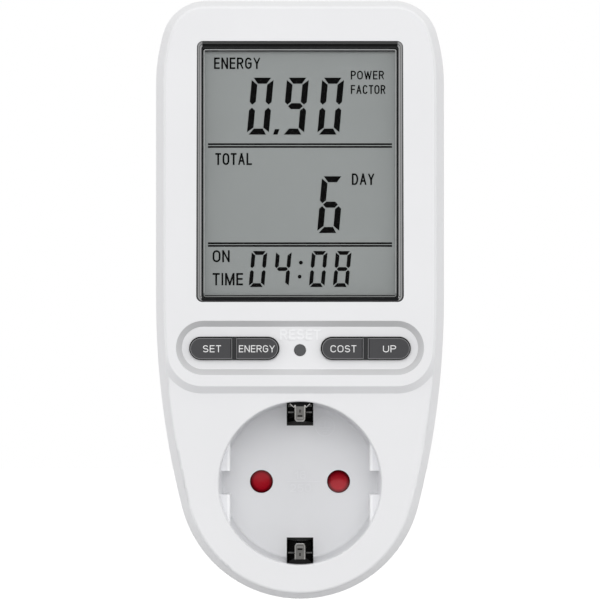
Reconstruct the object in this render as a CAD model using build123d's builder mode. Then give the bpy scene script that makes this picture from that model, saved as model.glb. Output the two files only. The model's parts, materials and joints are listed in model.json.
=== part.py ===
"""A plug-through energy monitor: a two-part moulded case with a mains plug behind, a
shuttered and earthed mains socket in front, and a large display with four keys and a
reset pin above the socket.

Millimetres. The origin is the centre of the plug's face, on the line through the plug
and the socket. +Z is up, the front faces -Y and the plug's pins point along +Y.
Heights are measured forwards, from the plug's face towards the reader."""

from build123d import *
from math import asin, atan, cos, degrees, radians, sin, tan
import os

# Mains plug and socket, to the usual 16 A pattern
pin_spacing = 19.0
pin_radius = 2.4
pin_length = 19.0
pin_hole_radius = 2.85
recess_depth = 17.5
recess_radius = 19.97
recess_floor_radius = 19.1

# Case, seen from the front: distances above and below the socket's line
half_width = 35.6
case_top = 118.7
case_bottom = 29.1
straight_top = 97.9
straight_bottom = 44.9
side_radius = 209.0
upper_side_radius = 45.7
corner_radius = 11.1

# Case, seen from the side
back_height = 18.0
seam_height = 36.0
front_height = 58.0
panel_raise = 1.8
wall = 2.2
front_draft = 5.7
rear_draft = 5.0
front_edge_radius = 0.7
back_edge_radius = 2.4
seam_groove = 0.25
lip_thickness = 1.0
lip_height = 1.6
fit_gap = 0.12

# Raised display panel
panel_bottom = 21.9
panel_corner_radius = 8.5
panel_edge_inset = 2.9
panel_slope = 45.0

# Display window, its dark frame and what stands behind it
window_side_margin = 10.3
window_height = 63.9
window_top_margin = 10.6
window_corner_radius = 1.4
frame_lip = 0.35
frame_slope_depth = 1.3
frame_slope = 42.0
frame_below_panel = 0.25
frame_view_margin = 1.6
frame_view_height = 60.8
frame_view_drop = 0.35
frame_flange = 0.9
pocket_gap = 0.25
frame_flange_thickness = 1.0
lens_thickness = 0.8
lens_seat = 0.9
glass_side_margin = 0.3
glass_height = 63.0
glass_thickness = 2.4
glass_step = 1.1
ledge_height = 4.0
holder_wall = 1.1
holder_plate = 1.6
contact_strip_depth = 2.2

# Key dish, keys and reset pin
dish_side_margin = 5.3
dish_height = 13.3
dish_z = 33.05
dish_depth = 1.5
dish_slope = 45.0
key_row_z = 32.95
key_pair_margin = 3.295
key_pair_start = 5.055
key_pair_height = 5.65
key_gap = 0.15
key_stand = 1.2
key_edge = 0.35
divider_width = 1.0
divider_drop = 0.45
key_flange = 0.8
key_flange_thickness = 0.8
key_play = 0.1
key_travel = 0.6
key_stem_radius = 1.5
reset_z = 32.5
reset_radius = 1.43
reset_stand = 0.2
reset_flange_radius = 2.3

# Tactile switches under the keys
switch_side = 6.0
switch_height = 3.5
plunger_radius = 1.7
plunger_stand = 1.2
plunger_depth = 1.5
reset_switch_side = 4.5
reset_plunger_radius = 1.1

# Boards
board_thickness = 1.6
board_drop = 8.4
board_inset = 5.2
board_bottom = 24.5
board_top_drop = 9.8
board_corner_radius = 3.0
power_board_rise = 6.6
power_board_inset = 6.8
power_board_bottom = 27.5
power_board_top_drop = 12.2

# Screws, bosses and posts
upper_screw_inset = 11.4
upper_screw_drop = 6.8
lower_screw_inset = 9.6
lower_screw_z = 20.0
boss_radius = 2.5
screw_radius = 1.2
screw_clearance = 0.05
screw_head_radius = 2.4
screw_head_height = 1.6
screw_length = 16.0
screw_seat_depth = 9.0
rear_boss_radius = 3.4
board_post_inset = 7.1
upper_board_post_drop = 16.2
lower_board_post_z = 41.8
post_radius = 1.9
board_screw_radius = 0.8
board_screw_head_radius = 1.7
board_screw_head_height = 1.1
board_screw_length = 6.0
cup_screw_x = 16.6
cup_screw_z = 18.6
cup_screw_bite = 1.6
power_post_inset = 9.6
upper_power_post_drop = 15.2
lower_power_post_z = 31.0
board_screw_reach = 4.2
cup_ear_radius = 3.1

# Socket cup
cup_wall = 1.8
cup_floor = 2.5
cup_flange = 1.4
cup_flange_thickness = 1.6
cup_floor_fillet = 0.8
rim_edge = 0.3
rib_flat_x = 17.1
rib_below_rim = 6.0
rib_notch = 5.8
rib_edge = 0.6
pocket_width = 6.4
pocket_inner = 13.9
pocket_outer = 23.0
pocket_wall = 1.2
pocket_below_rim = 1.0

# Child-safety shutter, its cage and the mains contacts
shutter_gap = 0.2
shutter_thickness = 2.5
shutter_radius = 12.9
shutter_turn = 38.0
shutter_hub_radius = 5.2
wing_overlap = 0.25
shutter_hole_gap = 0.1
ramp_half_width = 3.6
ramp_share = 0.8
pivot_radius = 1.6
pivot_gap = 0.05
cage_plate = 1.9
cage_wall = 1.6
cage_gap = 0.3
cage_open_width = 10.0
contact_radius = 3.1
contact_gap = 0.02
contact_slot = 1.0
contact_ring = 1.0
chamber_length = 11.6
tab_width = 3.4
tab_reach = 8.6
contact_block_wall = 1.4
contact_pocket_gap = 0.15
strap_width = 4.0
strap_thickness = 0.8
spring_wire = 0.5
spring_radius = 3.4
spring_height = 1.0

# Plug body, pins and earth strips
plug_radius = 18.6
plug_flat_x = 16.8
plug_key_width = 5.2
plug_face = 2.6
plug_bore_radius = 13.2
plug_edge = 0.8
earth_strip_width = 5.4
earth_strip_thickness = 0.9
earth_strip_z = 16.2
earth_recess_width = 7.6
earth_strip_set_back = 0.8
pin_tip = 1.0
pin_neck_radius = 2.1
pin_relief = 0.2
pin_mouth_gap = 0.25
pin_mouth_depth = 0.5
pin_collar_radius = 3.4
pin_collar = 2.0
pin_tail_radius = 1.5
pin_tail = 4.0
retainer_thickness = 1.6

# Earth spring clips in the socket
clip_thickness = 0.7
clip_width = 5.4
clip_tongue_width = 2.6
clip_crest = 14.9
clip_crest_below_rim = 8.5
clip_foot_rise = 5.0
clip_back_z = 21.4
clip_fold = 1.9
clip_fold_gap = 0.6
clip_bend = 0.7
clip_tip = 1.2
clip_shoulder_z = 19.3
clip_taper = 0.8
clip_neck_width = 3.3

# Parts on the power board
foil_width = 26.5
foil_thickness = 15.0
foil_gap = 5.4
foil_x = -12.5
foil_z = 62.0
foil_edge = 1.0
smoothing_x = 13.0
smoothing_z = 60.5
smoothing_spacing = 13.0
smoothing_radius = 5.0
smoothing_drop = 5.5
smoothing_groove = 0.4
smoothing_groove_share = 0.22
varistor_x = -19.0
varistor_z = 42.0
varistor_radius = 5.2
varistor_thickness = 4.2
varistor_stand = 1.5
fuse_x = 2.0
fuse_z = 38.0
fuse_radius = 1.9
fuse_length = 11.0
fuse_stand = 1.0
wire_radius = 0.4
wire_reach = 2.0
shunt_x = -17.0
shunt_z = 35.0
shunt_span = 12.0
shunt_rise = 5.0
shunt_width = 3.0
shunt_thickness = 0.8
chip_x = 8.0
chip_z = 84.0
chip_length = 10.3
chip_width = 7.5
chip_height = 2.3
chip_leg_spacing = 1.27
chip_leg_width = 0.45
chip_leg_reach = 1.4
chip_leg_thickness = 0.3
chip_leg_count = 8
battery_radius = 5.8
battery_length = 17.0
battery_x = -6.0
battery_z = 97.0
battery_stand = 0.4
battery_tag_width = 3.0
battery_tag_thickness = 0.4
diode_count = 4
diode_x = 24.0
diode_z = 87.0
diode_spacing = 6.0
diode_radius = 1.35
diode_length = 5.2

# Parts behind the display board
controller_x = 4.0
controller_z = 72.0
controller_radius = 7.0
controller_dome = 1.6
dome_share = 0.7
crystal_x = -14.0
crystal_z = 60.0
crystal_length = 8.0
crystal_radius = 1.5
ribbon_x = 22.0
ribbon_z = 45.0
ribbon_width = 14.0
ribbon_thickness = 1.0

# Insulated leads
lead_radius = 1.3
lead_bend = 2.2
lead_pad_z = 31.5
lead_top_rise = 4.0
lead_bow_z = 20.0
load_lead_lift = 6.4
supply_lead_x = -6.0
supply_lead_rise = 13.5
supply_lead_mid_height = 19.0
supply_lead_mid_z = 6.5
supply_lead_bow_height = 30.5
supply_lead_bow_z = 21.0

# One overrun for every cut that must break through
overrun = 1.0

panel_height = front_height + panel_raise
floor_height = front_height - recess_depth
plate_back = front_height - wall
panel_back = panel_height - wall
dish_floor_height = panel_height - dish_depth
cup_back = floor_height - cup_floor
shutter_front = cup_back - shutter_gap
shutter_back = shutter_front - shutter_thickness
cage_front = shutter_back - shutter_gap
cage_back = cage_front - cage_plate
chamber_back = cage_back - chamber_length
pin_x = pin_spacing / 2
front_inset = (front_height - seam_height) * tan(radians(front_draft))
rear_inner_height = back_height + wall
board_height = front_height - board_drop
board_back = board_height - board_thickness
board_half_width = half_width - board_inset
board_top = case_top - board_top_drop
power_board_height = back_height + power_board_rise
power_board_half_width = half_width - power_board_inset
power_board_top = case_top - power_board_top_drop
screw_seat_height = back_height + screw_seat_depth
power_board_back = power_board_height - board_thickness
window_width = 2 * (half_width - window_side_margin)
frame_view_width = window_width - 2 * frame_view_margin
glass_width = window_width - 2 * glass_side_margin
dish_width = 2 * (half_width - dish_side_margin)
key_pair_width = dish_width / 2 - key_pair_margin - key_pair_start
key_pair_x = key_pair_start + key_pair_width / 2
pocket_width_x = window_width + 2 * (frame_flange + pocket_gap)
pocket_height_z = window_height + 2 * (frame_flange + pocket_gap)
earth_slot_z = earth_strip_z - earth_strip_thickness / 2
recess_draft = degrees(atan((recess_radius - recess_floor_radius) / recess_depth))
window_z = case_top - window_top_margin - window_height / 2
frame_view_z = window_z - frame_view_drop
lens_width = frame_view_width + 2 * lens_seat
lens_height = frame_view_height + 2 * lens_seat
glass_back = panel_back - frame_flange_thickness - fit_gap - glass_thickness
strip_length = glass_width - ledge_height
strip_z = window_z + glass_height / 2 - ledge_height / 2
plunger_top = board_height + switch_height + plunger_stand
plunger_length = plunger_stand + plunger_depth - key_travel - key_play
divider_foot = key_flange + 2 * key_gap
cage_radius = shutter_radius + cage_gap + cage_wall
wing_half_width = pin_hole_radius + wing_overlap
clip_foot_height = back_height + clip_foot_rise
foil_height = board_back - power_board_height - foil_gap
smoothing_height = foil_height - smoothing_drop
pin_tail_end = plug_face + pin_collar + pin_tail
load_lead_rise = chamber_back + load_lead_lift
lead_top_height = load_lead_rise + lead_top_rise
case_screw_places = [
    (side * x, z)
    for side in (-1, 1)
    for x, z in (
        (half_width - upper_screw_inset, case_top - upper_screw_drop),
        (half_width - lower_screw_inset, lower_screw_z),
    )
]
board_post_places = [
    (side * (half_width - board_post_inset), z)
    for side in (-1, 1)
    for z in (case_top - upper_board_post_drop, lower_board_post_z)
]
power_post_places = [
    (side * (half_width - power_post_inset), z)
    for side in (-1, 1)
    for z in (case_top - upper_power_post_drop, lower_power_post_z)
]
cup_screw_places = [(side * cup_screw_x, cup_screw_z) for side in (-1, 1)]
lead_tab_z = tab_reach - tab_width / 2
supply_route = [
    (-pin_x, 0, pin_tail_end),
    (-pin_x, 0, supply_lead_rise),
    (supply_lead_x, supply_lead_mid_z, supply_lead_mid_height),
    (supply_lead_x, supply_lead_bow_z, supply_lead_bow_height),
    (supply_lead_x, lead_pad_z, lead_top_height),
    (supply_lead_x, lead_pad_z, power_board_height),
]
key_names = {"set": (-1, -1), "energy": (-1, 1), "cost": (1, -1), "up": (1, 1)}

# Looking from the front: x to the right, z up, the normal towards the reader
front_view = Plane.XZ
# Sections through the socket's line: along x or z, and forwards
section_x = Plane((0, 0, 0), x_dir=(1, 0, 0), z_dir=(0, 0, -1))
section_z = Plane((0, 0, 0), x_dir=(0, 0, 1), z_dir=(1, 0, 0))


def level(height):
    """The plane parallel to the front, this far forward of the plug's face."""
    return front_view.offset(height)


def on_circle(centre, radius, angle):
    """The point of a circle at an angle in degrees."""
    return (centre[0] + radius * cos(radians(angle)), centre[1] + radius * sin(radians(angle)))


def case_outline(inset):
    """The case's outline, moved inwards. Its lines and arcs are tangent, so the inset only
    shortens the radii."""
    upper_centre = (half_width - upper_side_radius, straight_top)
    side_centre = (half_width - side_radius, straight_bottom)
    corner_z = case_top - corner_radius
    corner_turn = degrees(asin((corner_z - straight_top) / (upper_side_radius - corner_radius)))
    corner_centre = on_circle(upper_centre, upper_side_radius - corner_radius, corner_turn)
    reach = straight_bottom + case_bottom
    bottom_radius = (side_radius**2 - reach**2 - side_centre[0] ** 2) / (2 * (side_radius - reach))
    bottom_centre = (0, bottom_radius - case_bottom)
    side_turn = -degrees(asin((straight_bottom - bottom_centre[1]) / (side_radius - bottom_radius)))
    with BuildSketch() as outline:
        with BuildLine():
            top = Line((0, case_top - inset), (corner_centre[0], case_top - inset))
            corner = ThreePointArc(
                top @ 1,
                on_circle(corner_centre, corner_radius - inset, (90 + corner_turn) / 2),
                on_circle(corner_centre, corner_radius - inset, corner_turn),
            )
            upper = ThreePointArc(
                corner @ 1,
                on_circle(upper_centre, upper_side_radius - inset, corner_turn / 2),
                on_circle(upper_centre, upper_side_radius - inset, 0),
            )
            straight = Line(upper @ 1, (half_width - inset, straight_bottom))
            side = ThreePointArc(
                straight @ 1,
                on_circle(side_centre, side_radius - inset, side_turn / 2),
                on_circle(side_centre, side_radius - inset, side_turn),
            )
            ThreePointArc(
                side @ 1,
                on_circle(bottom_centre, bottom_radius - inset, (side_turn - 90) / 2),
                on_circle(bottom_centre, bottom_radius - inset, -90),
            )
            mirror(about=Plane.YZ)
        make_face()
    return outline.sketch


def key_half(side, half, grow):
    """Half of a key capsule: side is -1 for the left pair, half is -1 for its left key."""
    centre_x = side * key_pair_x
    reach = key_pair_width / 2 + grow
    with BuildSketch() as outline:
        with Locations((centre_x, key_row_z)):
            SlotOverall(key_pair_width + 2 * grow, key_pair_height + 2 * grow)
        with Locations((centre_x + half * (divider_width / 2 + key_gap + reach / 2), key_row_z)):
            Rectangle(reach, key_pair_height + 2 * grow, mode=Mode.INTERSECT)
    return outline.sketch


def key_place(side, half):
    """Centre of a key's face."""
    half_width_x = (key_pair_width + divider_width) / 4
    return (side * key_pair_x + half * half_width_x, key_row_z)


def save(piece, name):
    """Label a finished piece and write it."""
    piece.part.label = name
    export_step(piece.part, f"parts/{name}.step")


def make_front_cover():
    """Front shell: display panel with its window, key dish and the socket's rim."""
    refill = 2 * front_edge_radius
    refill_inset = front_inset - refill * tan(radians(front_draft))
    with BuildPart() as panel_form:
        with BuildSketch(level(front_height)) as foot:
            add(case_outline(panel_edge_inset - panel_raise))
            with Locations((0, panel_bottom)):
                Rectangle(
                    2 * half_width, 2 * case_bottom, align=(Align.CENTER, Align.MAX), mode=Mode.SUBTRACT
                )
            fillet(foot.vertices().group_by(Axis.Y)[0], radius=panel_corner_radius + panel_raise)
        extrude(amount=panel_raise, taper=panel_slope)
        extrude(foot.sketch, amount=-refill)
    with BuildPart() as raised_panel:
        with BuildSketch(level(front_height - refill)):
            add(case_outline(refill_inset))
        extrude(amount=panel_raise + refill, taper=front_draft)
        add(panel_form.part, mode=Mode.INTERSECT)
    with BuildPart() as cover:
        with BuildSketch(level(seam_height)):
            add(case_outline(0))
        extrude(amount=front_height - seam_height, taper=front_draft)
        chamfer(cover.faces().sort_by(Axis.Y)[-1].edges(), seam_groove)
        fillet(cover.faces().sort_by(Axis.Y)[0].edges(), front_edge_radius)
        add(raised_panel.part)
        with BuildSketch(level(seam_height)):
            add(case_outline(wall))
        extrude(amount=plate_back - seam_height, taper=front_draft, mode=Mode.SUBTRACT)
        with BuildSketch(level(plate_back)):
            with Locations((0, window_z)):
                RectangleRounded(pocket_width_x, pocket_height_z, window_corner_radius)
        extrude(amount=panel_back - plate_back, mode=Mode.SUBTRACT)
        with BuildSketch(level(panel_height)):
            with Locations((0, window_z)):
                RectangleRounded(
                    window_width + 2 * fit_gap, window_height + 2 * fit_gap, window_corner_radius
                )
        extrude(amount=seam_height - panel_height, mode=Mode.SUBTRACT)
        with BuildSketch(level(panel_height)):
            with Locations((0, dish_z)):
                SlotOverall(dish_width, dish_height)
        extrude(amount=-dish_depth, taper=dish_slope, mode=Mode.SUBTRACT)
        with BuildSketch(level(panel_height)):
            with Locations((key_pair_x, key_row_z), (-key_pair_x, key_row_z)):
                SlotOverall(key_pair_width + 2 * key_gap, key_pair_height + 2 * key_gap)
            with Locations((0, reset_z)):
                Circle(reset_radius + key_gap)
            Circle(recess_radius)
        extrude(amount=seam_height - panel_height, mode=Mode.SUBTRACT)
        rims = cover.edges().filter_by(GeomType.CIRCLE)
        fillet(rims.filter_by(lambda edge: is_socket_rim(edge)).sort_by(Axis.Y)[0], rim_edge)
        with BuildSketch(level(seam_height + seam_groove)):
            with Locations(*case_screw_places):
                Circle(boss_radius)
        extrude(amount=plate_back - seam_height - seam_groove)
        with BuildSketch(level(board_height)):
            with Locations(*board_post_places):
                Circle(post_radius)
        extrude(amount=plate_back - board_height)
        with BuildSketch(level(seam_height)):
            with Locations(*case_screw_places):
                Circle(screw_radius + screw_clearance)
        extrude(amount=screw_seat_height + screw_length + overrun - seam_height, mode=Mode.SUBTRACT)
        with BuildSketch(level(board_height)):
            with Locations(*board_post_places):
                Circle(board_screw_radius + screw_clearance)
        extrude(amount=board_screw_length, mode=Mode.SUBTRACT)
        with BuildSketch(level(plate_back)):
            with Locations(*cup_screw_places):
                Circle(board_screw_radius + screw_clearance)
        extrude(amount=cup_screw_bite, mode=Mode.SUBTRACT)
    return cover


def is_socket_rim(edge):
    """True for a circle of the socket's opening."""
    return abs(edge.radius - recess_radius) < rim_edge


def make_rear_cover():
    """Rear shell with the plug's body, its pin holes, side keys and earth recesses."""
    with BuildPart() as cover:
        with BuildSketch(level(seam_height)):
            add(case_outline(0))
        extrude(amount=back_height - seam_height, taper=rear_draft)
        chamfer(cover.faces().sort_by(Axis.Y)[0].edges(), seam_groove)
        fillet(cover.faces().sort_by(Axis.Y)[-1].edges(), back_edge_radius)
        with BuildSketch(level(seam_height)):
            add(case_outline(wall))
        extrude(amount=rear_inner_height - seam_height, taper=rear_draft, mode=Mode.SUBTRACT)
        with BuildSketch(level(seam_height)):
            add(case_outline(wall + fit_gap))
            add(case_outline(wall + fit_gap + lip_thickness), mode=Mode.SUBTRACT)
            with Locations(*case_screw_places):
                Circle(boss_radius + lip_thickness, mode=Mode.SUBTRACT)
        extrude(amount=lip_height, taper=front_draft)
        with BuildSketch(level(seam_height)):
            add(case_outline(wall / 2))
            add(case_outline(wall + fit_gap + lip_thickness), mode=Mode.SUBTRACT)
        extrude(amount=-lip_height)
        with BuildSketch(level(0)):
            Circle(plug_radius)
            for side in (-1, 1):
                with Locations((side * plug_radius, 0)):
                    Rectangle(2 * (plug_radius - plug_flat_x), 2 * plug_radius, mode=Mode.SUBTRACT)
            with Locations((0, 0)):
                Rectangle(2 * (plug_radius - plug_edge), plug_key_width)
        extrude(amount=rear_inner_height)
        chamfer(cover.faces().sort_by(Axis.Y)[-1].outer_wire().edges(), plug_edge)
        with BuildSketch(level(plug_face)):
            Circle(plug_bore_radius)
        extrude(amount=rear_inner_height, mode=Mode.SUBTRACT)
        with BuildSketch(level(0)):
            for side in (-1, 1):
                with Locations((0, side * (earth_strip_z - earth_strip_thickness + plug_radius / 2))):
                    Rectangle(earth_recess_width, plug_radius)
        extrude(amount=back_height, mode=Mode.SUBTRACT)
        with BuildSketch(level(back_height)):
            with Locations((0, earth_slot_z), (0, -earth_slot_z)):
                Rectangle(earth_strip_width + 2 * fit_gap, earth_strip_thickness + 2 * fit_gap)
        extrude(amount=wall + overrun, mode=Mode.SUBTRACT)
        with BuildSketch(level(0)):
            with Locations((pin_x, 0), (-pin_x, 0)):
                Circle(pin_neck_radius + screw_clearance)
        extrude(amount=plug_face + overrun, mode=Mode.SUBTRACT)
        with BuildSketch(level(0)):
            with Locations((pin_x, 0), (-pin_x, 0)):
                Circle(pin_radius + pin_mouth_gap)
        extrude(amount=pin_mouth_depth, mode=Mode.SUBTRACT)
        with BuildSketch(level(rear_inner_height)):
            with Locations(*case_screw_places):
                Circle(rear_boss_radius)
        extrude(amount=seam_height - seam_groove - rear_inner_height)
        with BuildSketch(level(back_height)):
            with Locations(*case_screw_places):
                Circle(screw_head_radius + fit_gap)
        extrude(amount=screw_seat_height - back_height, mode=Mode.SUBTRACT)
        with BuildSketch(level(back_height)):
            with Locations(*case_screw_places):
                Circle(screw_radius + screw_clearance)
        extrude(amount=seam_height, mode=Mode.SUBTRACT)
        with BuildSketch(level(rear_inner_height)):
            with Locations(*power_post_places):
                Circle(post_radius)
        extrude(amount=power_board_back - rear_inner_height)
        with BuildSketch(level(power_board_back)):
            with Locations(*power_post_places):
                Circle(board_screw_radius + screw_clearance)
        extrude(amount=-board_screw_reach, mode=Mode.SUBTRACT)
    return cover


def make_socket_cup():
    """Socket recess: drafted wall, holed floor, guide ribs and the earth clips' pockets."""
    top = plate_back
    draft_share = (top - floor_height) / recess_depth
    top_radius = recess_floor_radius + (recess_radius - recess_floor_radius) * draft_share
    with BuildPart() as cup:
        with BuildSketch(section_x):
            with BuildLine():
                Polyline(
                    (0, cup_back),
                    (recess_floor_radius + cup_wall, cup_back),
                    (top_radius + cup_wall, top - cup_flange_thickness),
                    (top_radius + cup_wall + cup_flange, top - cup_flange_thickness),
                    (top_radius + cup_wall + cup_flange, top),
                    (top_radius, top),
                    (recess_floor_radius, floor_height),
                    (0, floor_height),
                    close=True,
                )
            make_face()
        revolve(axis=Axis.Y)
        with BuildSketch(level(cup_back)):
            for side in (-1, 1):
                with Locations((0, side * (pocket_inner + pocket_outer) / 2)):
                    Rectangle(pocket_width + 2 * pocket_wall, pocket_outer - pocket_inner + 2 * pocket_wall)
            Circle(recess_floor_radius, mode=Mode.SUBTRACT)
        extrude(amount=top - cup_back)
        with BuildSketch(level(top)):
            Circle(top_radius)
        extrude(amount=floor_height - top, taper=recess_draft, mode=Mode.SUBTRACT)
        inner_edges = cup.edges().filter_by(GeomType.CIRCLE)
        fillet(inner_edges.filter_by(lambda edge: is_floor_edge(edge)), cup_floor_fillet)
        with BuildSketch(level(top - cup_flange_thickness)):
            with Locations(*cup_screw_places):
                Circle(cup_ear_radius)
            Circle(top_radius + cup_wall, mode=Mode.SUBTRACT)
        extrude(amount=cup_flange_thickness)
        with BuildSketch(level(floor_height)):
            Circle(recess_floor_radius + cup_wall / 2)
            Rectangle(2 * rib_flat_x, 2 * recess_radius, mode=Mode.SUBTRACT)
            Rectangle(2 * recess_radius, rib_notch, mode=Mode.SUBTRACT)
        extrude(amount=recess_depth - rib_below_rim)
        fillet(cup.edges().filter_by(Axis.Z).filter_by(lambda edge: is_rib_edge(edge)), rib_edge)
        with BuildSketch(level(cup_back)):
            for side in (-1, 1):
                with Locations((0, side * (pocket_inner + pocket_outer) / 2)):
                    Rectangle(pocket_width, pocket_outer - pocket_inner)
        extrude(amount=top - cup_back - pocket_below_rim, mode=Mode.SUBTRACT)
        with BuildSketch(level(cup_back)):
            with Locations((pin_x, 0), (-pin_x, 0)):
                Circle(pin_hole_radius)
        extrude(amount=cup_floor, mode=Mode.SUBTRACT)
        with BuildSketch(level(top)):
            with Locations(*cup_screw_places):
                Circle(board_screw_radius + screw_clearance)
        extrude(amount=-cup_flange_thickness, mode=Mode.SUBTRACT)
    return cup


def is_rib_edge(edge):
    """True for the front edge of a guide rib's flat."""
    middle = edge.center()
    on_flat = abs(abs(middle.X) - rib_flat_x) < fit_gap
    return on_flat and abs(middle.Y + front_height - rib_below_rim) < fit_gap


def is_floor_edge(edge):
    """True for the circle where the recess's wall meets its floor."""
    on_wall = abs(edge.radius - recess_floor_radius) < fit_gap
    return on_wall and abs(edge.center().Y + floor_height) < fit_gap


def make_display_frame():
    """Dark frame round the display: a lip, a slope down to the view and a seat for the lens."""
    face = panel_height - frame_below_panel
    with BuildPart() as frame:
        with BuildSketch(level(panel_back - frame_flange_thickness)):
            with Locations((0, window_z)):
                RectangleRounded(
                    window_width + 2 * frame_flange,
                    window_height + 2 * frame_flange,
                    window_corner_radius + frame_flange,
                )
        extrude(amount=frame_flange_thickness)
        with BuildSketch(level(panel_back)):
            with Locations((0, window_z)):
                RectangleRounded(window_width, window_height, window_corner_radius)
        extrude(amount=face - panel_back)
        with BuildSketch(level(face)):
            with Locations((0, window_z)):
                RectangleRounded(
                    window_width - 2 * frame_lip,
                    window_height - 2 * frame_lip,
                    window_corner_radius - frame_lip,
                )
        extrude(amount=-frame_slope_depth, taper=frame_slope, mode=Mode.SUBTRACT)
        with BuildSketch(level(face)):
            with Locations((0, frame_view_z)):
                Rectangle(frame_view_width, frame_view_height)
        extrude(amount=-front_height, mode=Mode.SUBTRACT)
        with BuildSketch(level(panel_back - frame_flange_thickness)):
            with Locations((0, window_z)):
                Rectangle(lens_width + 2 * fit_gap, lens_height + 2 * fit_gap)
        extrude(amount=lens_thickness, mode=Mode.SUBTRACT)
    return frame


def make_display_lens():
    """Clear window, seated in the frame from behind."""
    with BuildPart() as lens:
        with BuildSketch(level(panel_back - frame_flange_thickness)):
            with Locations((0, window_z)):
                Rectangle(lens_width, lens_height)
        extrude(amount=lens_thickness)
    return lens


def make_lcd_glass():
    """Display: a front glass on a larger rear glass, whose ledge takes the contact strip."""
    with BuildPart() as glass:
        with BuildSketch(level(glass_back)):
            with Locations((0, window_z)):
                Rectangle(glass_width, glass_height)
        extrude(amount=glass_step)
        with BuildSketch(level(glass_back + glass_step)):
            with Locations((0, window_z + glass_height / 2)):
                Rectangle(glass_width, glass_height - ledge_height, align=(Align.CENTER, Align.MAX))
        extrude(amount=glass_thickness - glass_step)
    return glass


def make_lcd_holder():
    """White holder: a frame round the display with a reflector plate behind it."""
    with BuildPart() as holder:
        with BuildSketch(level(board_height)):
            with Locations((0, window_z)):
                RectangleRounded(
                    glass_width + 2 * (fit_gap + holder_wall),
                    glass_height + 2 * (fit_gap + holder_wall),
                    window_corner_radius,
                )
        extrude(amount=glass_back + glass_thickness - board_height)
        with BuildSketch(level(glass_back)):
            with Locations((0, window_z)):
                Rectangle(glass_width + 2 * fit_gap, glass_height + 2 * fit_gap)
        extrude(amount=glass_thickness, mode=Mode.SUBTRACT)
        with BuildSketch(level(board_height)):
            with Locations((0, window_z)):
                Rectangle(glass_width + 2 * fit_gap, glass_height + 2 * fit_gap)
        extrude(amount=glass_back - holder_plate - board_height, mode=Mode.SUBTRACT)
        with BuildSketch(level(board_height)):
            with Locations((0, strip_z)):
                Rectangle(strip_length + 2 * fit_gap, contact_strip_depth + 2 * fit_gap)
        extrude(amount=glass_back - board_height, mode=Mode.SUBTRACT)
    return holder


def make_contact_strip():
    """Elastomer strip that joins the board's pads to the rear glass."""
    with BuildPart() as strip:
        with BuildSketch(level(board_height)):
            with Locations((0, strip_z)):
                Rectangle(strip_length, contact_strip_depth)
        extrude(amount=glass_back - board_height)
    return strip


def make_key(side, half):
    """Key cap: half a capsule with a rounded face, a flange behind the cover and a stem."""
    face = dish_floor_height + key_stand
    flange_top = plate_back - key_play
    with BuildPart() as key:
        with BuildSketch(level(flange_top - key_flange_thickness)):
            add(key_half(side, half, 0))
        extrude(amount=face - flange_top + key_flange_thickness)
        chamfer(key.faces().sort_by(Axis.Y)[0].edges(), key_edge)
        with BuildSketch(level(flange_top - key_flange_thickness)):
            add(key_half(side, half, key_flange))
        extrude(amount=key_flange_thickness)
        with BuildSketch(level(plunger_top)):
            with Locations(key_place(side, half)):
                Circle(key_stem_radius)
        extrude(amount=flange_top - key_flange_thickness - plunger_top)
    return key


def make_key_dividers():
    """Sunken bars between the keys of each pair, held by feet behind the cover."""
    with BuildPart() as dividers:
        with BuildSketch(level(plate_back)):
            with Locations((key_pair_x, key_row_z), (-key_pair_x, key_row_z)):
                Rectangle(divider_width, key_pair_height)
        extrude(amount=dish_floor_height + key_stand - divider_drop - plate_back)
        with BuildSketch(level(plate_back - key_flange_thickness)):
            with Locations((key_pair_x, key_row_z), (-key_pair_x, key_row_z)):
                Rectangle(divider_width, key_pair_height + 2 * divider_foot)
        extrude(amount=key_flange_thickness)
    return dividers


def make_reset_key():
    """Round reset pin with its flange behind the cover."""
    face = dish_floor_height + reset_stand
    flange_top = plate_back - key_play
    with BuildPart() as key:
        with BuildSketch(level(plunger_top)):
            with Locations((0, reset_z)):
                Circle(reset_radius)
        extrude(amount=face - plunger_top)
        fillet(key.faces().sort_by(Axis.Y)[0].edges(), rim_edge)
        with BuildSketch(level(flange_top - key_flange_thickness)):
            with Locations((0, reset_z)):
                Circle(reset_flange_radius)
        extrude(amount=key_flange_thickness)
    return key


def make_key_switches():
    """Tactile switches on the display board, each with a well for its plunger."""
    with BuildPart() as switches:
        with BuildSketch(level(board_height)):
            with Locations(*[key_place(side, half) for side in (-1, 1) for half in (-1, 1)]):
                Rectangle(switch_side, switch_side)
            with Locations((0, reset_z)):
                Rectangle(reset_switch_side, reset_switch_side)
        extrude(amount=switch_height)
        with BuildSketch(level(board_height + switch_height)):
            with Locations(*[key_place(side, half) for side in (-1, 1) for half in (-1, 1)]):
                Circle(plunger_radius + screw_clearance)
            with Locations((0, reset_z)):
                Circle(reset_plunger_radius + screw_clearance)
        extrude(amount=-plunger_depth, mode=Mode.SUBTRACT)
    return switches


def make_plunger(place, radius):
    """Plunger of a tactile switch, in its raised place."""
    with BuildPart() as plunger:
        with BuildSketch(level(plunger_top)):
            with Locations(place):
                Circle(radius)
        extrude(amount=-plunger_length)
    return plunger


def make_display_board():
    """Board behind the display and the keys."""
    with BuildPart() as board:
        with BuildSketch(level(board_back)):
            with Locations((0, (board_bottom + board_top) / 2)):
                RectangleRounded(2 * board_half_width, board_top - board_bottom, board_corner_radius)
            with Locations(*board_post_places):
                Circle(board_screw_radius + screw_clearance, mode=Mode.SUBTRACT)
        extrude(amount=board_thickness)
    return board


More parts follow.
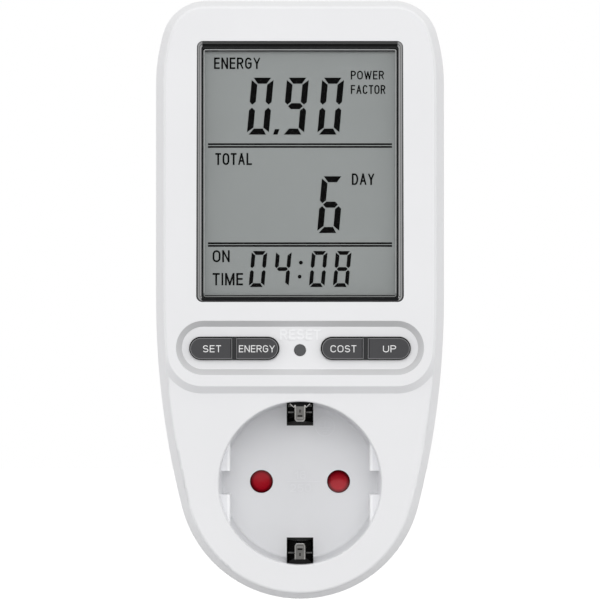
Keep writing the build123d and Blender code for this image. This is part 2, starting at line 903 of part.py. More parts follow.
def make_screws(places, seat, radius, length, head_radius, head_height):
    """Round-headed screws with their heads' undersides at one height. They point forwards,
    and backwards where the length and the head's height are negative."""
    head_end = -1 if length > 0 else 0
    with BuildPart() as screws:
        with BuildSketch(level(seat)):
            with Locations(*places):
                Circle(radius)
        extrude(amount=length)
        with BuildSketch(level(seat)):
            with Locations(*places):
                Circle(head_radius)
        extrude(amount=-head_height)
        fillet(screws.faces().filter_by(Axis.Y).group_by(Axis.Y)[head_end].edges(), abs(head_height) / 2)
    return screws


def make_safety_shutter():
    """Turning shutter: a hub on its pivot and two wings over the pin holes. Each wing has a
    ramp, and two pins that press both ramps turn the wings out of their way."""
    with BuildPart() as shutter:
        with BuildSketch(level(shutter_back)):
            Rectangle(2 * shutter_radius, 2 * wing_half_width)
            Circle(shutter_radius, mode=Mode.INTERSECT)
            Circle(shutter_hub_radius)
        extrude(amount=shutter_thickness)
        for side in (-1, 1):
            ramp_start = (side * (pin_x - ramp_half_width), 0, 0)
            with BuildSketch(Plane(ramp_start, x_dir=(0, 0, side), z_dir=(side, 0, 0))):
                with BuildLine():
                    Polyline(
                        (-wing_half_width, shutter_front),
                        (wing_half_width, shutter_front - ramp_share * shutter_thickness),
                        (wing_half_width, shutter_front),
                        close=True,
                    )
                make_face()
            extrude(amount=2 * ramp_half_width, mode=Mode.SUBTRACT)
        with BuildSketch(level(shutter_back)):
            Circle(pivot_radius + pivot_gap)
        extrude(amount=shutter_thickness, mode=Mode.SUBTRACT)
        with BuildSketch(level(shutter_back)):
            Circle(spring_radius + spring_wire + pivot_gap)
        extrude(amount=spring_height + shutter_gap, mode=Mode.SUBTRACT)
    return shutter


def make_shutter_cage():
    """Plate behind the shutter with its pivot, side walls up to the cup and contact chambers."""
    with BuildPart() as cage:
        with BuildSketch(level(cage_back)):
            Circle(cage_radius)
        extrude(amount=cage_plate)
        with BuildSketch(level(cage_front)):
            Circle(cage_radius)
            Circle(cage_radius - cage_wall, mode=Mode.SUBTRACT)
            Rectangle(cage_open_width, 2 * cage_radius, mode=Mode.SUBTRACT)
        extrude(amount=cup_back - cage_front)
        with BuildSketch(level(cage_front)):
            Circle(pivot_radius)
        extrude(amount=shutter_thickness)
        with BuildSketch(level(chamber_back)):
            with Locations((pin_x, 0), (-pin_x, 0)):
                Circle(contact_radius + contact_pocket_gap + contact_block_wall)
        extrude(amount=cage_back - chamber_back)
        with BuildSketch(level(chamber_back)):
            with Locations((pin_x, 0), (-pin_x, 0)):
                Circle(contact_radius + contact_pocket_gap)
        extrude(amount=cage_back - chamber_back, mode=Mode.SUBTRACT)
        with BuildSketch(level(cage_back)):
            with Locations((pin_x, 0), (-pin_x, 0)):
                Circle(pin_hole_radius + shutter_hole_gap)
        extrude(amount=cage_plate, mode=Mode.SUBTRACT)
    return cage


def make_shutter_spring():
    """Torsion spring round the pivot: its wound body and the arm that the cage holds."""
    with BuildPart() as spring:
        with BuildSketch(level(cage_front)):
            Circle(spring_radius + spring_wire / 2)
            Circle(spring_radius - spring_wire / 2, mode=Mode.SUBTRACT)
        extrude(amount=spring_height)
    return spring


def make_contact(side, strapped):
    """Slotted spring sleeve for a pin with a tab for its lead and, where strapped, a strap
    down to the plug's pin."""
    with BuildPart() as contact:
        with BuildSketch(level(chamber_back)):
            with Locations((side * pin_x, 0)):
                Circle(contact_radius)
        extrude(amount=cage_back - chamber_back)
        with BuildSketch(level(chamber_back - strap_thickness)):
            with Locations((side * pin_x, 0)):
                Circle(contact_radius)
                Rectangle(tab_width, tab_reach, align=(Align.CENTER, Align.MIN))
        extrude(amount=strap_thickness)
        if strapped:
            with BuildSketch(level(pin_tail_end)):
                with Locations((side * (pin_x + contact_radius - strap_thickness / 2), 0)):
                    Rectangle(strap_thickness, strap_width)
            extrude(amount=chamber_back - pin_tail_end)
            with BuildSketch(level(pin_tail_end)):
                with Locations((side * (pin_x + (contact_radius - pin_tail_radius) / 2), 0)):
                    Rectangle(contact_radius + pin_tail_radius, strap_width)
            extrude(amount=strap_thickness)
        with BuildSketch(level(chamber_back - strap_thickness)):
            with Locations((side * pin_x, 0)):
                Circle(pin_radius + contact_gap)
        extrude(amount=cage_back, mode=Mode.SUBTRACT)
        with BuildSketch(level(chamber_back + contact_ring)):
            with Locations((side * pin_x, 0)):
                Rectangle(contact_slot, 2 * contact_radius + overrun)
        extrude(amount=cage_back, mode=Mode.SUBTRACT)
    return contact


def make_plug_pin(side):
    """Round plug pin with a neck through the plug's face, a collar inside and a tail."""
    with BuildPart() as pin:
        with BuildSketch(level(-pin_length)):
            with Locations((side * pin_x, 0)):
                Circle(pin_radius)
        extrude(amount=pin_length - pin_relief)
        chamfer(pin.faces().sort_by(Axis.Y)[-1].edges(), pin_tip)
        with BuildSketch(level(-pin_relief)):
            with Locations((side * pin_x, 0)):
                Circle(pin_neck_radius)
        extrude(amount=plug_face + pin_relief)
        with BuildSketch(level(plug_face)):
            with Locations((side * pin_x, 0)):
                Circle(pin_collar_radius)
        extrude(amount=pin_collar)
        with BuildSketch(level(plug_face + pin_collar)):
            with Locations((side * pin_x, 0)):
                Circle(pin_tail_radius)
        extrude(amount=pin_tail)
    return pin


def make_pin_retainer():
    """Disc that holds the pins' collars against the plug's face from inside."""
    with BuildPart() as retainer:
        with BuildSketch(level(plug_face + pin_collar)):
            Circle(plug_bore_radius - fit_gap)
            with Locations((pin_x, 0), (-pin_x, 0)):
                Circle(pin_tail_radius + fit_gap, mode=Mode.SUBTRACT)
        extrude(amount=retainer_thickness)
    return retainer


def make_plug_earth(side):
    """Earth strip in the plug's recess, with a foot inside that meets the socket's clip."""
    inner = earth_strip_z - earth_strip_thickness
    with BuildPart() as strip:
        with BuildSketch(section_z):
            with BuildLine():
                Polyline(
                    (side * inner, earth_strip_set_back),
                    (side * earth_strip_z, earth_strip_set_back),
                    (side * earth_strip_z, clip_foot_height - earth_strip_thickness),
                    (side * (clip_back_z + clip_thickness), clip_foot_height - earth_strip_thickness),
                    (side * (clip_back_z + clip_thickness), clip_foot_height),
                    (side * inner, clip_foot_height),
                    close=True,
                )
            make_face()
        extrude(amount=earth_strip_width / 2, both=True)
    return strip


def make_earth_clip(side):
    """Earth spring clip: a band up the pocket's back, folded over and narrowed at its
    shoulders to a tongue that runs back over its crest."""
    fold_height = plate_back - pocket_below_rim - clip_fold_gap
    crest_height = front_height - clip_crest_below_rim
    with BuildPart() as clip:
        with BuildSketch(section_z):
            with BuildLine() as path:
                FilletPolyline(
                    (side * clip_back_z, clip_foot_height),
                    (side * clip_back_z, fold_height),
                    (side * (clip_back_z - clip_fold), fold_height),
                    (side * (clip_crest + clip_thickness / 2), crest_height),
                    (side * (clip_crest + clip_thickness / 2 + clip_tip), floor_height),
                    radius=clip_bend,
                )
            trace(line_width=clip_thickness)
        extrude(amount=clip_width / 2, both=True)
        for edge in (-1, 1):
            with BuildSketch(level(clip_foot_height)):
                with BuildLine():
                    Polyline(
                        (edge * (clip_width / 2 + overrun), side * clip_shoulder_z),
                        (edge * clip_width / 2, side * clip_shoulder_z),
                        (edge * clip_neck_width / 2, side * (clip_shoulder_z - clip_taper)),
                        (edge * clip_tongue_width / 2, side * (clip_shoulder_z - clip_taper)),
                        (edge * clip_tongue_width / 2, 0),
                        (edge * (clip_width / 2 + overrun), 0),
                        close=True,
                    )
                make_face()
            extrude(amount=front_height - clip_foot_height, mode=Mode.SUBTRACT)
    return clip


def make_power_board():
    """Board behind, with the parts that meter and feed."""
    with BuildPart() as board:
        with BuildSketch(level(power_board_back)):
            with Locations((0, (power_board_bottom + power_board_top) / 2)):
                RectangleRounded(
                    2 * power_board_half_width, power_board_top - power_board_bottom, board_corner_radius
                )
            with Locations(*power_post_places):
                Circle(board_screw_radius + screw_clearance, mode=Mode.SUBTRACT)
        extrude(amount=board_thickness)
    return board


def make_foil_capacitor():
    """Boxed film capacitor that drops the mains voltage."""
    with BuildPart() as capacitor:
        with BuildSketch(level(power_board_height)):
            with Locations((foil_x, foil_z)):
                Rectangle(foil_width, foil_thickness)
        extrude(amount=foil_height)
        fillet(capacitor.edges().filter_by(Axis.Y), foil_edge)
    return capacitor


def make_smoothing_capacitors():
    """Two standing electrolytic cans, each with a rolled groove near its foot."""
    with BuildPart() as cans:
        with BuildSketch(level(power_board_height)):
            with Locations((smoothing_x, smoothing_z)):
                with GridLocations(0, smoothing_spacing, 1, 2):
                    Circle(smoothing_radius)
        extrude(amount=smoothing_height)
        with BuildSketch(level(power_board_height + smoothing_height * smoothing_groove_share)):
            with Locations((smoothing_x, smoothing_z)):
                with GridLocations(0, smoothing_spacing, 1, 2):
                    Circle(smoothing_radius)
                    Circle(smoothing_radius - smoothing_groove, mode=Mode.SUBTRACT)
        extrude(amount=smoothing_groove, mode=Mode.SUBTRACT)
        fillet(cans.faces().sort_by(Axis.Y)[:2].edges(), smoothing_groove)
    return cans


def make_varistor():
    """Disc varistor on its two wires."""
    centre_height = power_board_height + varistor_stand + varistor_radius
    with BuildPart() as varistor:
        with BuildSketch(Plane.YZ.offset(varistor_x - varistor_thickness / 2)):
            with Locations((-centre_height, varistor_z)):
                Circle(varistor_radius)
        extrude(amount=varistor_thickness)
        fillet(varistor.edges(), varistor_thickness / 4)
        with BuildSketch(level(power_board_height)):
            with Locations((varistor_x, varistor_z)):
                with GridLocations(0, varistor_radius, 1, 2):
                    Circle(wire_radius)
        extrude(amount=varistor_stand + varistor_radius / 2)
    return varistor


def lying_tube(centre_x, centre_z, radius, length, stand):
    """A component's round body lying along x over the board, on its two bent wires."""
    centre_height = power_board_height + stand + radius
    reach = length / 2 + wire_reach
    with BuildPart() as tube:
        with BuildSketch(Plane.YZ.offset(centre_x - length / 2)):
            with Locations((-centre_height, centre_z)):
                Circle(radius)
        extrude(amount=length)
        fillet(tube.edges(), radius / 4)
        with BuildSketch(Plane.YZ.offset(centre_x - reach)):
            with Locations((-centre_height, centre_z)):
                Circle(wire_radius)
        extrude(amount=2 * reach)
        with BuildSketch(level(power_board_height)):
            with Locations((centre_x - reach, centre_z), (centre_x + reach, centre_z)):
                Circle(wire_radius)
        extrude(amount=stand + radius + wire_radius)
    return tube


def make_diodes():
    """Rectifier diodes in a row."""
    with BuildPart() as diodes:
        for row in range(diode_count):
            row_z = diode_z + (row - (diode_count - 1) / 2) * diode_spacing
            add(lying_tube(diode_x, row_z, diode_radius, diode_length, wire_radius).part)
    return diodes


def make_shunt():
    """Current shunt: a thick strip bridging two pads."""
    with BuildPart() as shunt:
        with BuildSketch(level(power_board_height)):
            with Locations((shunt_x, shunt_z)):
                Rectangle(shunt_span, shunt_width)
        extrude(amount=shunt_rise)
        with BuildSketch(level(power_board_height)):
            with Locations((shunt_x, shunt_z)):
                Rectangle(shunt_span - 2 * shunt_thickness, shunt_width)
        extrude(amount=shunt_rise - shunt_thickness, mode=Mode.SUBTRACT)
    return shunt


def make_metering_chip():
    """Metering chip with its two rows of legs."""
    with BuildPart() as chip:
        with BuildSketch(level(power_board_height)):
            with Locations((chip_x, chip_z)):
                Rectangle(chip_length, chip_width)
        extrude(amount=chip_height)
        with BuildSketch(level(power_board_height)):
            with Locations((chip_x, chip_z)):
                with GridLocations(chip_leg_spacing, 0, chip_leg_count, 1):
                    Rectangle(chip_leg_width, chip_width + 2 * chip_leg_reach)
        extrude(amount=chip_leg_thickness)
    return chip


def make_backup_battery():
    """Sleeved stack of button cells lying along x, with a solder tag at each end."""
    centre_height = power_board_height + battery_stand + battery_radius
    with BuildPart() as battery:
        with BuildSketch(Plane.YZ.offset(battery_x - battery_length / 2)):
            with Locations((-centre_height, battery_z)):
                Circle(battery_radius)
        extrude(amount=battery_length)
        fillet(battery.edges(), battery_radius / 6)
        with BuildSketch(level(power_board_height)):
            with Locations((battery_x, battery_z)):
                with GridLocations(battery_length + battery_tag_thickness, 0, 2, 1):
                    Rectangle(battery_tag_thickness, battery_tag_width)
        extrude(amount=battery_stand + battery_radius + battery_tag_width / 2)
    return battery


def make_controller():
    """Resin cap over the controller, behind the display board."""
    with BuildPart() as controller:
        with BuildSketch(level(board_back)):
            with Locations((controller_x, controller_z)):
                Circle(controller_radius)
        extrude(amount=-controller_dome)
        fillet(controller.faces().sort_by(Axis.Y)[-1].edges(), controller_dome * dome_share)
    return controller


def make_crystal():
    """Clock crystal, a small can lying on the back of the display board."""
    with BuildPart() as crystal:
        with BuildSketch(Plane.YZ.offset(crystal_x - crystal_length / 2)):
            with Locations((-board_back + crystal_radius, crystal_z)):
                Circle(crystal_radius)
        extrude(amount=crystal_length)
        fillet(crystal.edges(), crystal_radius / 4)
    return crystal


def make_ribbon():
    """Flat cable between the two boards."""
    with BuildPart() as ribbon:
        with BuildSketch(level(power_board_height)):
            with Locations((ribbon_x, ribbon_z)):
                Rectangle(ribbon_width, ribbon_thickness)
        extrude(amount=board_back - power_board_height)
    return ribbon


def load_route(side):
    """Way of a lead from a socket contact's tab to the power board."""
    return [
        (side * pin_x, lead_tab_z, chamber_back),
        (side * pin_x, lead_tab_z, load_lead_rise),
        (side * pin_x, lead_bow_z, lead_top_height),
        (side * pin_x, lead_pad_z, lead_top_height),
        (side * pin_x, lead_pad_z, power_board_height),
    ]


def make_lead(points):
    """Insulated lead along straight runs and tangent arcs: points are x, z and height."""
    with BuildPart() as lead:
        with BuildLine() as route:
            FilletPolyline(*[(x, -height, z) for x, z, height in points], radius=lead_bend)
        with BuildSketch(Plane(route.line @ 0, z_dir=route.line % 0)):
            Circle(lead_radius)
        sweep(path=route.line)
    return lead


def main():
    """Build every piece and write it to the parts folder."""
    os.makedirs("parts", exist_ok=True)
    save(make_front_cover(), "front_cover")
    save(make_rear_cover(), "rear_cover")
    save(make_socket_cup(), "socket_cup")
    save(make_display_frame(), "display_frame")
    save(make_display_lens(), "display_lens")
    save(make_lcd_glass(), "lcd_glass")
    save(make_lcd_holder(), "lcd_holder")
    save(make_contact_strip(), "lcd_contact_strip")
    save(make_display_board(), "display_board")
    save(make_key_dividers(), "key_dividers")
    save(make_reset_key(), "reset_key")
    save(make_key_switches(), "key_switches")
    for name, (side, half) in key_names.items():
        save(make_key(side, half), f"{name}_key")
        save(make_plunger(key_place(side, half), plunger_radius), f"{name}_plunger")
    save(make_plunger((0, reset_z), reset_plunger_radius), "reset_plunger")
    save(make_safety_shutter(), "safety_shutter")
    save(make_shutter_cage(), "shutter_cage")
    save(make_shutter_spring(), "shutter_spring")
    save(make_contact(-1, False), "line_contact")
    save(make_contact(1, True), "neutral_contact")
    save(make_plug_pin(-1), "line_pin")
    save(make_plug_pin(1), "neutral_pin")
    save(make_pin_retainer(), "pin_retainer")
    for name, side in (("upper", 1), ("lower", -1)):
        save(make_plug_earth(side), f"{name}_earth_strip")
        save(make_earth_clip(side), f"{name}_earth_clip")
    save(make_power_board(), "power_board")
    save(make_foil_capacitor(), "foil_capacitor")
    save(make_smoothing_capacitors(), "smoothing_capacitors")
    save(make_varistor(), "varistor")
    save(lying_tube(fuse_x, fuse_z, fuse_radius, fuse_length, fuse_stand), "fuse_resistor")
    save(make_diodes(), "rectifier_diodes")
    save(make_shunt(), "current_shunt")
    save(make_metering_chip(), "metering_chip")
    save(make_backup_battery(), "backup_battery")
    save(make_controller(), "controller")
    save(make_crystal(), "clock_crystal")
    save(make_ribbon(), "ribbon_cable")
    save(make_lead(supply_route), "line_supply_lead")
    save(make_lead(load_route(-1)), "line_load_lead")
    save(make_lead(load_route(1)), "neutral_lead")
    case_screws = make_screws(
        case_screw_places, screw_seat_height, screw_radius, screw_length, screw_head_radius, screw_head_height
    )
    save(case_screws, "case_screws")
    display_screws = make_screws(
        board_post_places,
        board_back,
        board_screw_radius,
        board_screw_length,
        board_screw_head_radius,
        board_screw_head_height,
    )
    save(display_screws, "display_board_screws")
    power_screws = make_screws(
        power_post_places,
        power_board_height,
        board_screw_radius,
        -board_screw_reach,
        board_screw_head_radius,
        -board_screw_head_height,
    )
    save(power_screws, "power_board_screws")
    cup_screws = make_screws(
        cup_screw_places,
        plate_back - cup_flange_thickness,
        board_screw_radius,
        cup_flange_thickness + cup_screw_bite,
        board_screw_head_radius,
        board_screw_head_height,
    )
    save(cup_screws, "cup_screws")


if __name__ == "__main__":
    main()
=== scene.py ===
import functools
import json
import math

import bmesh
import bpy
from bpy.props import FloatProperty, FloatVectorProperty, PointerProperty
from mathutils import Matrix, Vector


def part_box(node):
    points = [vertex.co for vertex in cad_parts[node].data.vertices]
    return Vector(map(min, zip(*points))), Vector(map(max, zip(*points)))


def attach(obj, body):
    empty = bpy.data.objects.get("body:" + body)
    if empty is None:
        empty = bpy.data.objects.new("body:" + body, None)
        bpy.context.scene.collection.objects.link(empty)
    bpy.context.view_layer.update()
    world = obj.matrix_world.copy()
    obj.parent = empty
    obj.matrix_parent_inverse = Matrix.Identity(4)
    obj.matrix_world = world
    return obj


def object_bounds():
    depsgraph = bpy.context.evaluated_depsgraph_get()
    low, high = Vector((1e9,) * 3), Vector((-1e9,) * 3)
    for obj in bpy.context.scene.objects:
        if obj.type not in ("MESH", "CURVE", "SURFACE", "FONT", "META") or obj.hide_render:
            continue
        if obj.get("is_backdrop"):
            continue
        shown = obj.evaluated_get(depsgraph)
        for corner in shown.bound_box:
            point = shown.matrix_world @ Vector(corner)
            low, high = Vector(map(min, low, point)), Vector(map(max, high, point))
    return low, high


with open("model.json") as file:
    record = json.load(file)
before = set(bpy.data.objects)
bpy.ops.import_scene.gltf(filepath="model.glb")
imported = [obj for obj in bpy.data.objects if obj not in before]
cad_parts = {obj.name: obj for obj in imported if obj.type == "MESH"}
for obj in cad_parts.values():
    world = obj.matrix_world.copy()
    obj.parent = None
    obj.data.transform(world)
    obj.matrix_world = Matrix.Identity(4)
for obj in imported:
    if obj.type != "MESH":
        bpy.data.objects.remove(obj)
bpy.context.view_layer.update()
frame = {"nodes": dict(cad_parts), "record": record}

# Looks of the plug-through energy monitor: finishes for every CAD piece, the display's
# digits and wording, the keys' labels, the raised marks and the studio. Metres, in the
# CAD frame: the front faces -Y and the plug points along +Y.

bl_info = {
    "name": "Energy monitor looks",
    "version": (1, 0, 0),
    "blender": (4, 5, 0),
    "location": "3D view > Sidebar > Energy monitor",
    "description": "Finishes, display, labels and studio of the plug-through energy monitor",
    "category": "Object",
}

MM = 0.001
NODES = frame["nodes"]

INK_THICKNESS = 0.02 * MM  # of printing and of thin painted rings
PROUD = 0.01 * MM  # gap between printing and the face below it
EDGE = 0.1 * MM  # bare edge round the display's film
STAGGER = 0.003 * MM  # between strokes that cross, so that no two faces share a plane

# Places on the solids that the added pieces lie on
RECESS_FLOOR = -40.5 * MM
DISH_FLOOR = -58.3 * MM
VIEW_HALF_X, VIEW_HALF_Z, VIEW_Z = 23.7 * MM, 30.4 * MM, 75.8 * MM
KEY_ROW_Z, KEY_HALF_HEIGHT = 32.95 * MM, 2.825 * MM
RESET_Z = 32.5 * MM
CLIP_Z, CLIP_FACE, CLIP_RISE = 16.5 * MM, -51.4 * MM, 1.1  # a place on the clip's slope, and the slope


def colour_prop(name, description, default):
    """A colour that the sidebar shows as a swatch."""
    return FloatVectorProperty(
        name=name, description=description, default=default, size=3, min=0.0, max=1.0, subtype="COLOR"
    )


def length_prop(name, description, default):
    """A length in metres."""
    return FloatProperty(
        name=name, description=description, default=default, min=0.0, subtype="DISTANCE", unit="LENGTH"
    )


def strength_prop(name, description, default):
    """A strength of light without a unit."""
    return FloatProperty(name=name, description=description, default=default, min=0.0)


def power_prop(name, description, default):
    """The power of a lamp in watts."""
    return FloatProperty(name=name, description=description, default=default, min=0.0, subtype="POWER")


class CaseSettings(bpy.types.PropertyGroup):
    """Mouldings of the case and the socket."""

    white: colour_prop("White", "Colour of the two covers", (0.85, 0.852, 0.862))
    # The recess's white is the covers' white made darker: painted shade for the deep recess
    socket_white: colour_prop("Socket white", "Colour of the socket's recess", (0.775, 0.779, 0.794))
    inner_white: colour_prop("Inner white", "Colour of the unseen holders", (0.78, 0.78, 0.76))
    shutter_red: colour_prop("Shutter red", "Colour of the safety shutter", (0.56, 0.006, 0.02))
    grain: length_prop("Grain", "Width of the moulding's spark texture", 0.00025)


class DisplaySettings(bpy.types.PropertyGroup):
    """Display, its frame and what it shows."""

    glass: colour_prop("Glass", "Colour of the display where nothing is dark", (0.334, 0.354, 0.349))
    ink: colour_prop("Ink", "Colour of the dark segments", (0.002, 0.002, 0.002))
    frame: colour_prop("Frame", "Colour of the frame round the display", (0.010, 0.0105, 0.011))
    slant: FloatProperty(
        name="Slant",
        description="Lean of the digits to the right",
        default=math.radians(5.1),
        subtype="ANGLE",
    )
    stroke_share: FloatProperty(
        name="Stroke", description="Width of a segment as a share of the digit's height", default=0.106
    )
    gap_share: FloatProperty(
        name="Segment gap",
        description="Gap between segments as a share of the digit's height",
        default=0.009,
    )


class KeySettings(bpy.types.PropertyGroup):
    """Keys and their labels."""

    rubber: colour_prop("Keys", "Colour of the four keys", (0.058, 0.058, 0.061))
    # The dividers' colour is the keys' grey made darker: painted shade on the bars, which sit lower than
    # the keys
    divider: colour_prop("Dividers", "Colour of the bars between the keys", (0.026, 0.0265, 0.028))
    pin: colour_prop("Reset pin", "Colour of the small round key", (0.085, 0.087, 0.09))
    label: colour_prop("Labels", "Colour of the printed words", (0.82, 0.82, 0.82))


class MetalSettings(bpy.types.PropertyGroup):
    """Plated and bare metal."""

    nickel: colour_prop("Nickel", "Colour of the pins and the earth strips", (0.70, 0.685, 0.655))
    bronze: colour_prop("Bronze", "Colour of the contacts", (0.72, 0.50, 0.28))
    zinc: colour_prop("Zinc", "Colour of the screws", (0.62, 0.62, 0.64))


class StageSettings(bpy.types.PropertyGroup):
    """Camera, floor and light."""

    lens: FloatProperty(name="Lens", description="Focal length in millimetres", default=429.0, min=1.0)
    distance: length_prop("Camera distance", "From the plug's face to the camera", 1.803)
    height: length_prop("Camera height", "Above the socket's line", 0.04474)
    sky: strength_prop("Sky", "Strength of the light from all round", 0.8)
    ground: strength_prop("Ground", "Strength of the light from below", 0.28)
    front_power: power_prop("Front softbox", "Power of the lamp in front", 19.5)
    side_power: power_prop("Side softboxes", "Power of each lamp at the sides", 4.0)
    clearance: length_prop("Clearance", "Height of the object over the floor", 0.04)
    floor: colour_prop("Floor", "Colour that the floor gives back to the object", (0.5, 0.5, 0.51))


def new_group(name, inputs, outputs):
    """A shader node group with named sockets, and its two end nodes."""
    group = bpy.data.node_groups.new(name, "ShaderNodeTree")
    for label, default in inputs.items():
        socket = group.interface.new_socket(name=label, in_out="INPUT", socket_type="NodeSocketFloat")
        socket.default_value = default
    for label in outputs:
        group.interface.new_socket(name=label, in_out="OUTPUT", socket_type="NodeSocketFloat")
    return group, group.nodes.new("NodeGroupInput"), group.nodes.new("NodeGroupOutput")


def node_of(tree, kind, values=None, links=None, **settings):
    """A node with its settings, its sockets' values and its incoming links."""
    made = tree.nodes.new(kind)
    for key, value in settings.items():
        setattr(made, key, value)
    for key, value in (values or {}).items():
        made.inputs[key].default_value = value
    for key, source in (links or {}).items():
        tree.links.new(source, made.inputs[key])
    return made


def math_node(tree, operation, first, second=0.0):
    """A Math node; each side is a socket or a number."""
    made = node_of(tree, "ShaderNodeMath", operation=operation)
    for index, side in enumerate((first, second)):
        if isinstance(side, bpy.types.NodeSocket):
            tree.links.new(side, made.inputs[index])
        else:
            made.inputs[index].default_value = side
    return made.outputs[0]


def diagonal(tree, first, second):
    """The length that two measures at a right angle make."""
    squares = [math_node(tree, "POWER", side, 2.0) for side in (first, second)]
    return math_node(tree, "SQRT", math_node(tree, "ADD", *squares))


def place_of(tree):
    """A place on the object, in the CAD frame."""
    return node_of(tree, "ShaderNodeTexCoord").outputs["Object"]


def coordinates(tree):
    """The X, Y and Z of a place on the object."""
    return node_of(tree, "ShaderNodeSeparateXYZ", None, {"Vector": place_of(tree)}).outputs


def noise(tree, place, values=None, **links):
    """A cloudy mask; its Scale is a value or a link."""
    return node_of(tree, "ShaderNodeTexNoise", values, {"Vector": place, **links}).outputs["Fac"]


def ramp(tree, value, values=None, **links):
    """A mask that goes up between two ends, given as values or as links."""
    named = {"From Min": links.get("start"), "From Max": links.get("full")}
    sources = {key: source for key, source in named.items() if source}
    return node_of(tree, "ShaderNodeMapRange", values, {"Value": value, **sources}).outputs["Result"]


def node_group(name, inputs, outputs):
    """Make a function that fills a shader node group build it once and hand it out afterwards."""

    def wrap(fill):
        @functools.wraps(fill)
        def get():
            group = bpy.data.node_groups.get(name)
            if not group:
                group, start, end = new_group(name, inputs, outputs)
                for label, source in fill(group, start.outputs).items():
                    group.links.new(source, end.inputs[label])
            return group

        return get

    return wrap


def effect(tree, group, **values):
    """The outputs of a group placed in a tree; values are named with _ for a space."""
    named = {label.replace("_", " "): value for label, value in values.items()}
    return node_of(tree, "ShaderNodeGroup", named, node_tree=group).outputs


@node_group("Moulded grain", {"Grain Size": 0.00025, "Peel Size": 0.004}, ("Height", "Mottle", "Speckle"))
def moulded_grain(group, given):
    """Spark texture and orange peel of a moulding, with a slow change of shade."""
    place = place_of(group)
    grain_scale, peel_scale = (
        math_node(group, "DIVIDE", 1.0, given[label]) for label in ("Grain Size", "Peel Size")
    )
    grain = noise(group, place, {"Detail": 2.0}, Scale=grain_scale)
    peel = noise(group, place, {"Detail": 1.0}, Scale=peel_scale)
    return {
        "Height": math_node(group, "ADD", grain, math_node(group, "MULTIPLY", peel, 1.6)),
        "Mottle": noise(group, place, {"Scale": 38.0, "Detail": 3.0}),
        "Speckle": grain,
    }


@node_group("Rolled metal", {"Line Density": 2600.0}, ("Height", "Streak", "Tarnish"))
def rolled_metal(group, given):
    """Rolling marks along a strip and small bright and dull patches."""
    place = place_of(group)
    stretched = node_of(group, "ShaderNodeMapping", {"Scale": (1.0, 0.06, 1.0)}, {"Vector": place})
    fine = {"Detail": 3.0, "Roughness": 0.6}
    streak = noise(group, stretched.outputs["Vector"], fine, Scale=given["Line Density"])
    tarnish = noise(group, place, {"Scale": 420.0, "Detail": 4.0})
    return {"Height": streak, "Streak": streak, "Tarnish": tarnish}


@node_group("Etched tracks", {"Track Density": 260.0}, ("Height", "Track", "Pad"))
def etched_tracks(group, given):
    """Tracks and pads that show through a board's lacquer."""
    links = {"Vector": place_of(group), "Scale": given["Track Density"]}
    cells = node_of(group, "ShaderNodeTexVoronoi", None, links, feature="DISTANCE_TO_EDGE")
    dots = node_of(group, "ShaderNodeTexVoronoi", {"Randomness": 0.55}, links)
    track = math_node(group, "LESS_THAN", cells.outputs["Distance"], 0.07)
    pad = math_node(group, "LESS_THAN", dots.outputs["Distance"], 0.12)
    return {"Height": math_node(group, "MAXIMUM", track, pad), "Track": track, "Pad": pad}


def new_material(name):
    """A material with only its output and a Principled shader; its tree and that shader too."""
    material = bpy.data.materials.new(name)
    material.use_nodes = True
    tree = material.node_tree
    tree.nodes.clear()
    shader = node_of(tree, "ShaderNodeBsdfPrincipled")
    node_of(tree, "ShaderNodeOutputMaterial", None, {"Surface": shader.outputs["BSDF"]})
    return material, tree, shader


def once(build):
    """Make a function that builds a material of a name hand out the one that is there already."""

    @functools.wraps(build)
    def get(name, *values, **more):
        return bpy.data.materials.get(name) or build(name, *values, **more)

    return get


def mixed(tree, factor, first, second):
    """A colour that goes from the first to the second with a mask; each is a socket or a colour."""
    mix = node_of(tree, "ShaderNodeMix", None, {"Factor": factor}, data_type="RGBA")
    for key, side in (("A", first), ("B", second)):
        if isinstance(side, bpy.types.NodeSocket):
            tree.links.new(side, mix.inputs[key])
        else:
            mix.inputs[key].default_value = (*side, 1.0)
    return mix.outputs["Result"]


def spread(tree, factor, low, high):
    """A value from low to high as a mask goes over its middle range."""
    return ramp(tree, factor, {"From Min": 0.3, "From Max": 0.7, "To Min": low, "To Max": high})


def bump(tree, shader, height, depth, strength):
    """Relief from a height mask, in metres of depth."""
    made = node_of(tree, "ShaderNodeBump", {"Strength": strength, "Distance": depth}, {"Height": height})
    tree.links.new(made.outputs["Normal"], shader.inputs["Normal"])


WHITE = (1.0, 1.0, 1.0, 1.0)


def grey(level):
    """A neutral colour."""
    return (level, level, level)


def varied(colour, share):
    """A colour made lighter or darker by a share."""
    return tuple(min(1.0, channel * (1.0 + share)) for channel in colour)


@once
def moulded(name, colour, roughness, grain=0.00025, depth=0.00002, strength=0.25, shift=0.012, gleam=0.5):
    """Moulded plastic or rubber: slight shade changes, spark texture and its gloss."""
    material, tree, shader = new_material(name)
    texture = effect(tree, moulded_grain(), Grain_Size=grain)
    tone = spread(tree, texture["Mottle"], 0.0, 1.0)
    mottled = mixed(tree, tone, varied(colour, -shift), varied(colour, shift))
    tree.links.new(mottled, shader.inputs["Base Color"])
    shader.inputs["Specular IOR Level"].default_value = gleam
    gloss = spread(tree, texture["Speckle"], roughness * 0.9, min(1.0, roughness * 1.1))
    tree.links.new(gloss, shader.inputs["Roughness"])
    bump(tree, shader, texture["Height"], depth, strength)
    return material


